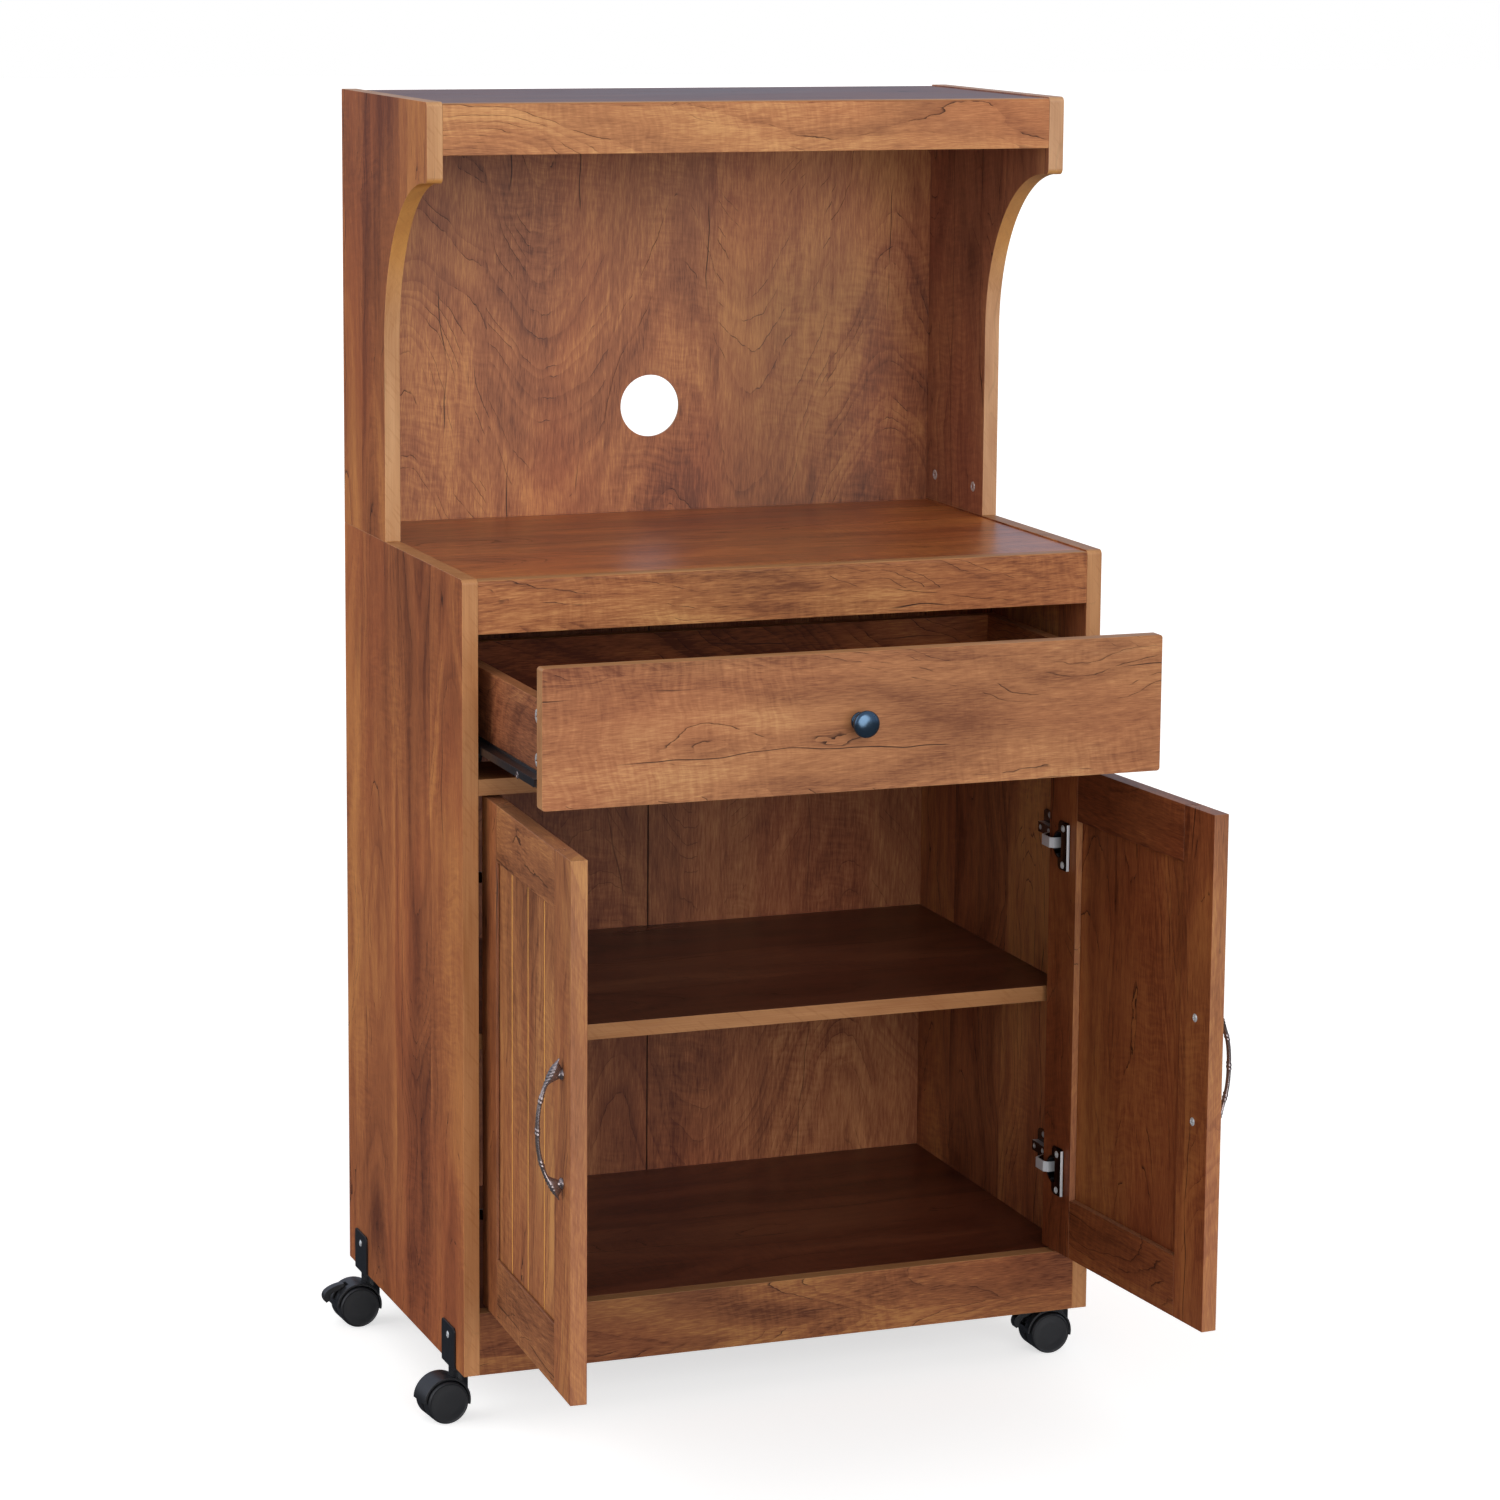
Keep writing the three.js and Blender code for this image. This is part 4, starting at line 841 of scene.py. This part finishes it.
def makePull(side):
    door = "door_" + side
    reach = pull["holes"] / 2 + pull["overhang"]
    steps, count = pull["steps"], pull["sectionPoints"]
    points, faces = [], []
    for i in range(steps + 1):
        points += pullSection(-1 + 2 * i / steps, reach)
    for i in range(steps):
        for k in range(count):
            n = (k + 1) % count
            faces.append((i * count + k, i * count + n, (i + 1) * count + n, (i + 1) * count + k))
    faces.append(tuple(range(count)))
    faces.append(tuple(steps * count + k for k in reversed(range(count))))
    bow = meshPiece("bow_pull_" + side, points, faces, onDoor(side, pull["x"], "face", pull["z"]), door,
                    "pewter", 60)
    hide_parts(door + "_pull")
    for end, mark in ((-1, "lower"), (1, "upper")):
        level = pull["z"] + end * pull["holes"] / 2
        points, faces = turned(easeCorners(pull["foot"], 0.8), 32)
        meshPiece("pull_foot_%s_%s" % (side, mark), points, faces, onDoor(side, pull["x"], "face", level, 90),
                  door, "pewter", 40)
        # the screw that holds it, on the door's inner face
        screwHead("pull_screw_%s_%s" % (side, mark), onDoor(side, pull["x"], "rear", level, -90, 0.5 + end),
                  pull["screwRadius"], door)


for side in ("left", "right"):
    makePull(side)
print("stage: pulls")


# Hinges keep their CAD bodies with eased edges, and gain a thicker flange and their screws
hinge = {
    "levels": (194.5, 510.5),
    "blockX": (15.2, 26.5), "blockHalf": 22.5, "blockRise": (1.3, 4.0), "blockEase": 0.7,
    "rimWidth": 0.7, "rimShort": 0.3, "rimOverlap": 0.1,
    "screwX": 19.0, "screwSpread": 17.5, "screwRadius": 3.4,
    "earY": 69.0, "earSpread": 13.0, "earX": 17.0, "earRadius": 3.2,
    "crankBack": 20.0, "armScrews": (58.0, 77.0), "armX": 22.8, "armScrewRadius": 2.6,
}


def makeBlock(name, low, high, ease, where, body, look):
    # a block with eased edges, between two corners
    shape = bmesh.new()
    bmesh.ops.create_cube(shape, size=1.0)
    for vertex in shape.verts:
        vertex.co = Vector([(a + b) / 2 + (b - a) * c for a, b, c in zip(low, high, vertex.co)])
    bmesh.ops.bevel(shape, geom=shape.edges, offset=ease, segments=3, profile=0.5, affect="EDGES")
    points = [tuple(vertex.co) for vertex in shape.verts]
    faces = [[vertex.index for vertex in face.verts] for face in shape.faces]
    shape.free()
    return meshPiece(name, points, faces, where, body, look, 50)


def makeHinge(side, level, mark):
    tag = side + "_" + mark
    door = "door_" + side
    easedPiece("hinge_cup_" + tag, 0.2 * mm, finishes["chrome"])
    arm = easedPiece("hinge_arm_" + tag, 0.2 * mm, finishes["chrome"])
    # painted light: the crank in front of the plate, which faces the light, is bright nickel and the plate
    # behind it dark chrome
    arm.data.materials.append(finishes["nickel"])
    limit = place(0, hinge["crankBack"], 0).y
    for face in arm.data.polygons:
        face.material_index = 1 if face.center.y < limit else 0
    (x0, x1), half, short = hinge["blockX"], hinge["blockHalf"], hinge["rimShort"]
    y0, y1 = [doors["rear"] + rise for rise in hinge["blockRise"]]
    makeBlock("hinge_flange_" + tag, (x0, y0, level - half), (x1, y1, level + half), hinge["blockEase"],
              doorFrames[side], door, "chrome")
    # a bright nickel strip along the flange's outer edge: a painted highlight where the edge catches the light
    makeBlock("hinge_rim_highlight_" + tag, (x1 - hinge["rimOverlap"], y0, level - half + short),
              (x1 + hinge["rimWidth"], y1, level + half - short), short, doorFrames[side], door, "nickel")
    inward = (1 if side == "left" else -1, 0, 0)
    for end, word in ((-1, "down"), (1, "up")):
        where = (doorFrames[side]
                 @ Matrix.Translation((hinge["screwX"], y1, level + end * hinge["screwSpread"]))
                 @ Matrix.Rotation(math.radians(-90), 4, "X") @ Matrix.Rotation(0.4 * end, 4, "Z"))
        screwHead("flange_screw_%s_%s" % (tag, word), where, hinge["screwRadius"], door)
        where = aim(mirrored(side, hinge["earX"]), hinge["earY"], level + end * hinge["earSpread"], inward,
                    30 * end)
        screwHead("plate_screw_%s_%s" % (tag, word), where, hinge["earRadius"], "cabinet")
    for y, word in zip(hinge["armScrews"], ("front", "rear")):
        screwHead("arm_screw_%s_%s" % (tag, word), aim(mirrored(side, hinge["armX"]), y, level, inward, 15),
                  hinge["armScrewRadius"], "cabinet")


for side in ("left", "right"):
    for level, mark in zip(hinge["levels"], ("lower", "upper")):
        makeHinge(side, level, mark)
print("stage: hinges")


# Runners, each with a stud near the front end of its drawer half, and their rollers
runner = {
    "studX": 16.7, "studY": 63.5, "studZ": 632.5,
    "stud": [(0, 0.05), (1.53, 0.05), (1.87, 0.35), (2.89, 0.35), (3.4, 0.0), (3.4, -0.6), (0, -0.6)],
}

for side, outward in (("left", -1), ("right", 1)):
    points, faces = turned(runner["stud"], 32)
    where = aim(mirrored(side, runner["studX"]), runner["studY"] - cart["drawerOut"], runner["studZ"],
                (outward, 0, 0))
    meshPiece("runner_stud_" + side, points, faces, where, "drawer", "pewter", 40)
    for nodeName in ("cabinet_runner_" + side, "drawer_runner_" + side):
        easedPiece(nodeName, 0.25 * mm, finishes["enamel"])
    easedPiece("runner_roller_" + side, 0.5 * mm, finishes["housing"])
print("stage: runners")


# Casters
caster = {
    "places": {
        "front_left": (8.0, 45.0, 6.0), "front_right": (616.0, 45.0, 1.0),
        "rear_left": (8.0, 342.0, 3.0), "rear_right": (616.0, 342.0, -4.0),
    },  # x, y and the angle it stands at
    "trail": 16.0, "wheelRadius": 20.0, "halfWidth": 16.5, "innerHalf": 2.3, "axle": 3.0,
    "segments": 72, "screwZ": 80.0, "screwRadius": 3.4, "bracketThick": 2.0,
}


def makeWheels(name):
    x, y, angle = caster["places"][name]
    big, out, inner = caster["wheelRadius"], caster["halfWidth"], caster["innerHalf"]
    half = [(caster["axle"], inner), (big - 0.8, inner), (big, inner + 0.9), (big, out - 2.0),
            (big - 0.3, out - 1.0), (big - 0.8, out - 0.5), (big - 1.0, out), (big - 1.7, out),
            (big - 2.1, out - 0.6), (big - 2.6, out - 0.7), (big - 9, out - 0.35), (0, out - 0.2)]
    line = [(radius, -height) for radius, height in reversed(half)] + half
    points, faces = turned(easeCorners(line, 0.5, 3), caster["segments"])
    axis = (Matrix.Translation(place(x, y, big)) @ Matrix.Rotation(math.radians(angle), 4, "Z")
            @ Matrix.Translation((-caster["trail"] * mm, 0, 0)) @ Matrix.Rotation(math.radians(90), 4, "X")
            @ Matrix.Scale(mm, 4))
    piece = meshPiece("twin_wheels_" + name, points, faces, axis, "wheels_" + name, "tyre", 40)
    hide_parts("caster_wheels_" + name)


for name, (x, y, angle) in caster["places"].items():
    makeWheels(name)
    easedPiece("caster_housing_" + name, 0.35 * mm, finishes["housing"])
    easedPiece("caster_bracket_" + name, 0.3 * mm, finishes["enamel"])
    if "brake_lever_" + name in nodes:
        easedPiece("brake_lever_" + name, 0.4 * mm, finishes["housing"])
    side, outward = ("left", -1) if "left" in name else ("right", 1)
    where = aim(mirrored(side, -caster["bracketThick"]), y, caster["screwZ"], (outward, 0, 0), 20)
    screwHead("bracket_screw_" + name, where, caster["screwRadius"], "cabinet")
print("stage: casters")


# Bolts, cams and pins of the flat-packed boards
fittings = {
    "inside": 15.0, "hutchBolts": ((366.0, 815.0), (270.0, 815.0)), "boltRadius": 5.0,
    "drawerSide": 28.0, "drawerCams": ((42.0, 688.0), (42.0, 649.0)), "camRadius": 6.0, "camDome": 0.08,
    "shelfPins": (62.0, 350.0), "shelfLevel": 351.5, "pinRadius": 2.5,
    "pin": [(0, -0.5), (2.5, -0.5), (2.5, 7.0), (0, 7.0)],
}


def makeBolt(name, where, radius):
    # a flat head with a chamfer and a sunk socket
    socket = radius * 0.42
    line = [(0, -0.6), (socket * 0.98, -0.6), (socket, 0.5), (radius * 0.82, 0.7), (radius, 0.2),
            (radius, -1.0), (0, -1.0)]
    points, faces = turned(line, 36)
    meshPiece(name, points, faces, where, "cabinet", "zinc", 30)


for side, inward in (("left", 1), ("right", -1)):
    x = mirrored(side, fittings["inside"])
    for y, z in fittings["hutchBolts"]:
        makeBolt("hutch_bolt_%s_%d" % (side, y), aim(x, y, z, (inward, 0, 0)), fittings["boltRadius"])
    for y in fittings["shelfPins"]:
        points, faces = turned(easeCorners(fittings["pin"], 0.5), 24)
        where = aim(x, y, fittings["shelfLevel"] - fittings["pinRadius"], (inward, 0, 0))
        meshPiece("shelf_pin_%s_%d" % (side, y), points, faces, where, "cabinet", "zinc")
for side, outward in (("left", -1), ("right", 1)):
    for y, z in fittings["drawerCams"]:
        where = aim(mirrored(side, fittings["drawerSide"]), y - cart["drawerOut"], z, (outward, 0, 0), 30)
        screwHead("drawer_cam_%s_%d" % (side, z), where, fittings["camRadius"], "drawer",
                  dome=fittings["camDome"])
print("stage: fittings")


# Studio

studio = {
    "floorSize": 60.0,
    "floorGlow": 0.62,  # what the camera sees of the floor's white that takes no shadow
    "worldLight": 0.45, "worldShineHigh": 0.7, "worldShineLow": 0.08, "horizon": (-0.1, 0.12),
    "worldShineTint": (222, 232, 255),
    "keyStrength": 2.0, "keyAngle": 50.0, "keyFrom": (0.0, 12.0),
    "fillStrength": 1.0, "fillAngle": 60.0, "fillFrom": (-100.0, 25.0),
}


def makeFloor():
    bpy.ops.mesh.primitive_plane_add(size=studio["floorSize"], location=(0, 0, 0))
    floor = bpy.context.object
    floor.name = "studio_floor"
    material, tree, shader = shaderStart("studio_white")
    out = tree.nodes["Material Output"]
    shader.inputs["Base Color"].default_value = (0.8, 0.8, 0.8, 1)
    shader.inputs["Roughness"].default_value = 0.9
    shader.inputs["Specular IOR Level"].default_value = 0.0
    glow = addNode(tree, "ShaderNodeEmission")
    glow.inputs["Color"].default_value = (1, 1, 1, 1)
    path = addNode(tree, "ShaderNodeLightPath")
    tree.links.new(maths(tree, "MULTIPLY", path.outputs["Is Camera Ray"], studio["floorGlow"]),
                   glow.inputs["Strength"])
    both = addNode(tree, "ShaderNodeAddShader")
    tree.links.new(shader.outputs[0], both.inputs[0])
    tree.links.new(glow.outputs[0], both.inputs[1])
    tree.links.new(both.outputs[0], out.inputs["Surface"])
    floor.data.materials.append(material)
    floor.visible_glossy = False


def makeWorld():
    world = bpy.data.worlds.new("studio_world")
    bpy.context.scene.world = world
    world.use_nodes = True
    tree = world.node_tree
    back = tree.nodes["Background"]
    path = addNode(tree, "ShaderNodeLightPath")
    glossy = path.outputs["Is Glossy Ray"]
    seen = maths(tree, "MAXIMUM", path.outputs["Is Camera Ray"], path.outputs["Is Transmission Ray"])
    light = studio["worldLight"]
    strength = maths(tree, "MULTIPLY_ADD", seen, 1.0 - light, light)
    # polished tops mirror a bright room, upright faces a dark one
    heading = addNode(tree, "ShaderNodeTexCoord")
    upward = split(tree, heading.outputs["Generated"])[2]
    shine = smoothRange(tree, upward, *studio["horizon"], studio["worldShineLow"], studio["worldShineHigh"])
    extra = maths(tree, "MULTIPLY", glossy, maths(tree, "SUBTRACT", shine, light))
    tree.links.new(maths(tree, "ADD", strength, extra), back.inputs["Strength"])
    tint = mixColour(tree, glossy, (1, 1, 1, 1), colour(*studio["worldShineTint"]))
    tree.links.new(tint, back.inputs["Color"])


def makeSun(name, strength, angle, azimuth, elevation):
    data = bpy.data.lights.new(name, "SUN")
    data.energy = strength
    data.angle = math.radians(angle)
    lamp = bpy.data.objects.new(name, data)
    bpy.context.scene.collection.objects.link(lamp)
    a, e = math.radians(azimuth), math.radians(elevation)
    away = Vector((math.sin(a) * math.cos(e), -math.cos(a) * math.cos(e), math.sin(e)))
    lamp.rotation_mode = "QUATERNION"
    lamp.rotation_quaternion = away.to_track_quat("Z", "Y")


view = {"from": (-1126.92, -3715.49, 1383.62), "turn": (80.5626, -0.4754, -20.7073), "lens": 106.236,
        "shift": (-0.00713, -0.075)}


def makeCamera():
    data = bpy.data.cameras.new("camera")
    data.lens = view["lens"]
    data.sensor_width = 36.0
    data.shift_x, data.shift_y = view["shift"]
    data.clip_end = 200.0
    camera = bpy.data.objects.new("camera", data)
    bpy.context.scene.collection.objects.link(camera)
    camera.location = place(*view["from"])
    camera.rotation_euler = [math.radians(angle) for angle in view["turn"]]
    bpy.context.scene.camera = camera


makeFloor()
makeWorld()
makeSun("key", studio["keyStrength"], studio["keyAngle"], *studio["keyFrom"])
makeSun("fill", studio["fillStrength"], studio["fillAngle"], *studio["fillFrom"])
makeCamera()
bpy.context.scene.view_settings.view_transform = "Standard"
print("stage: studio")
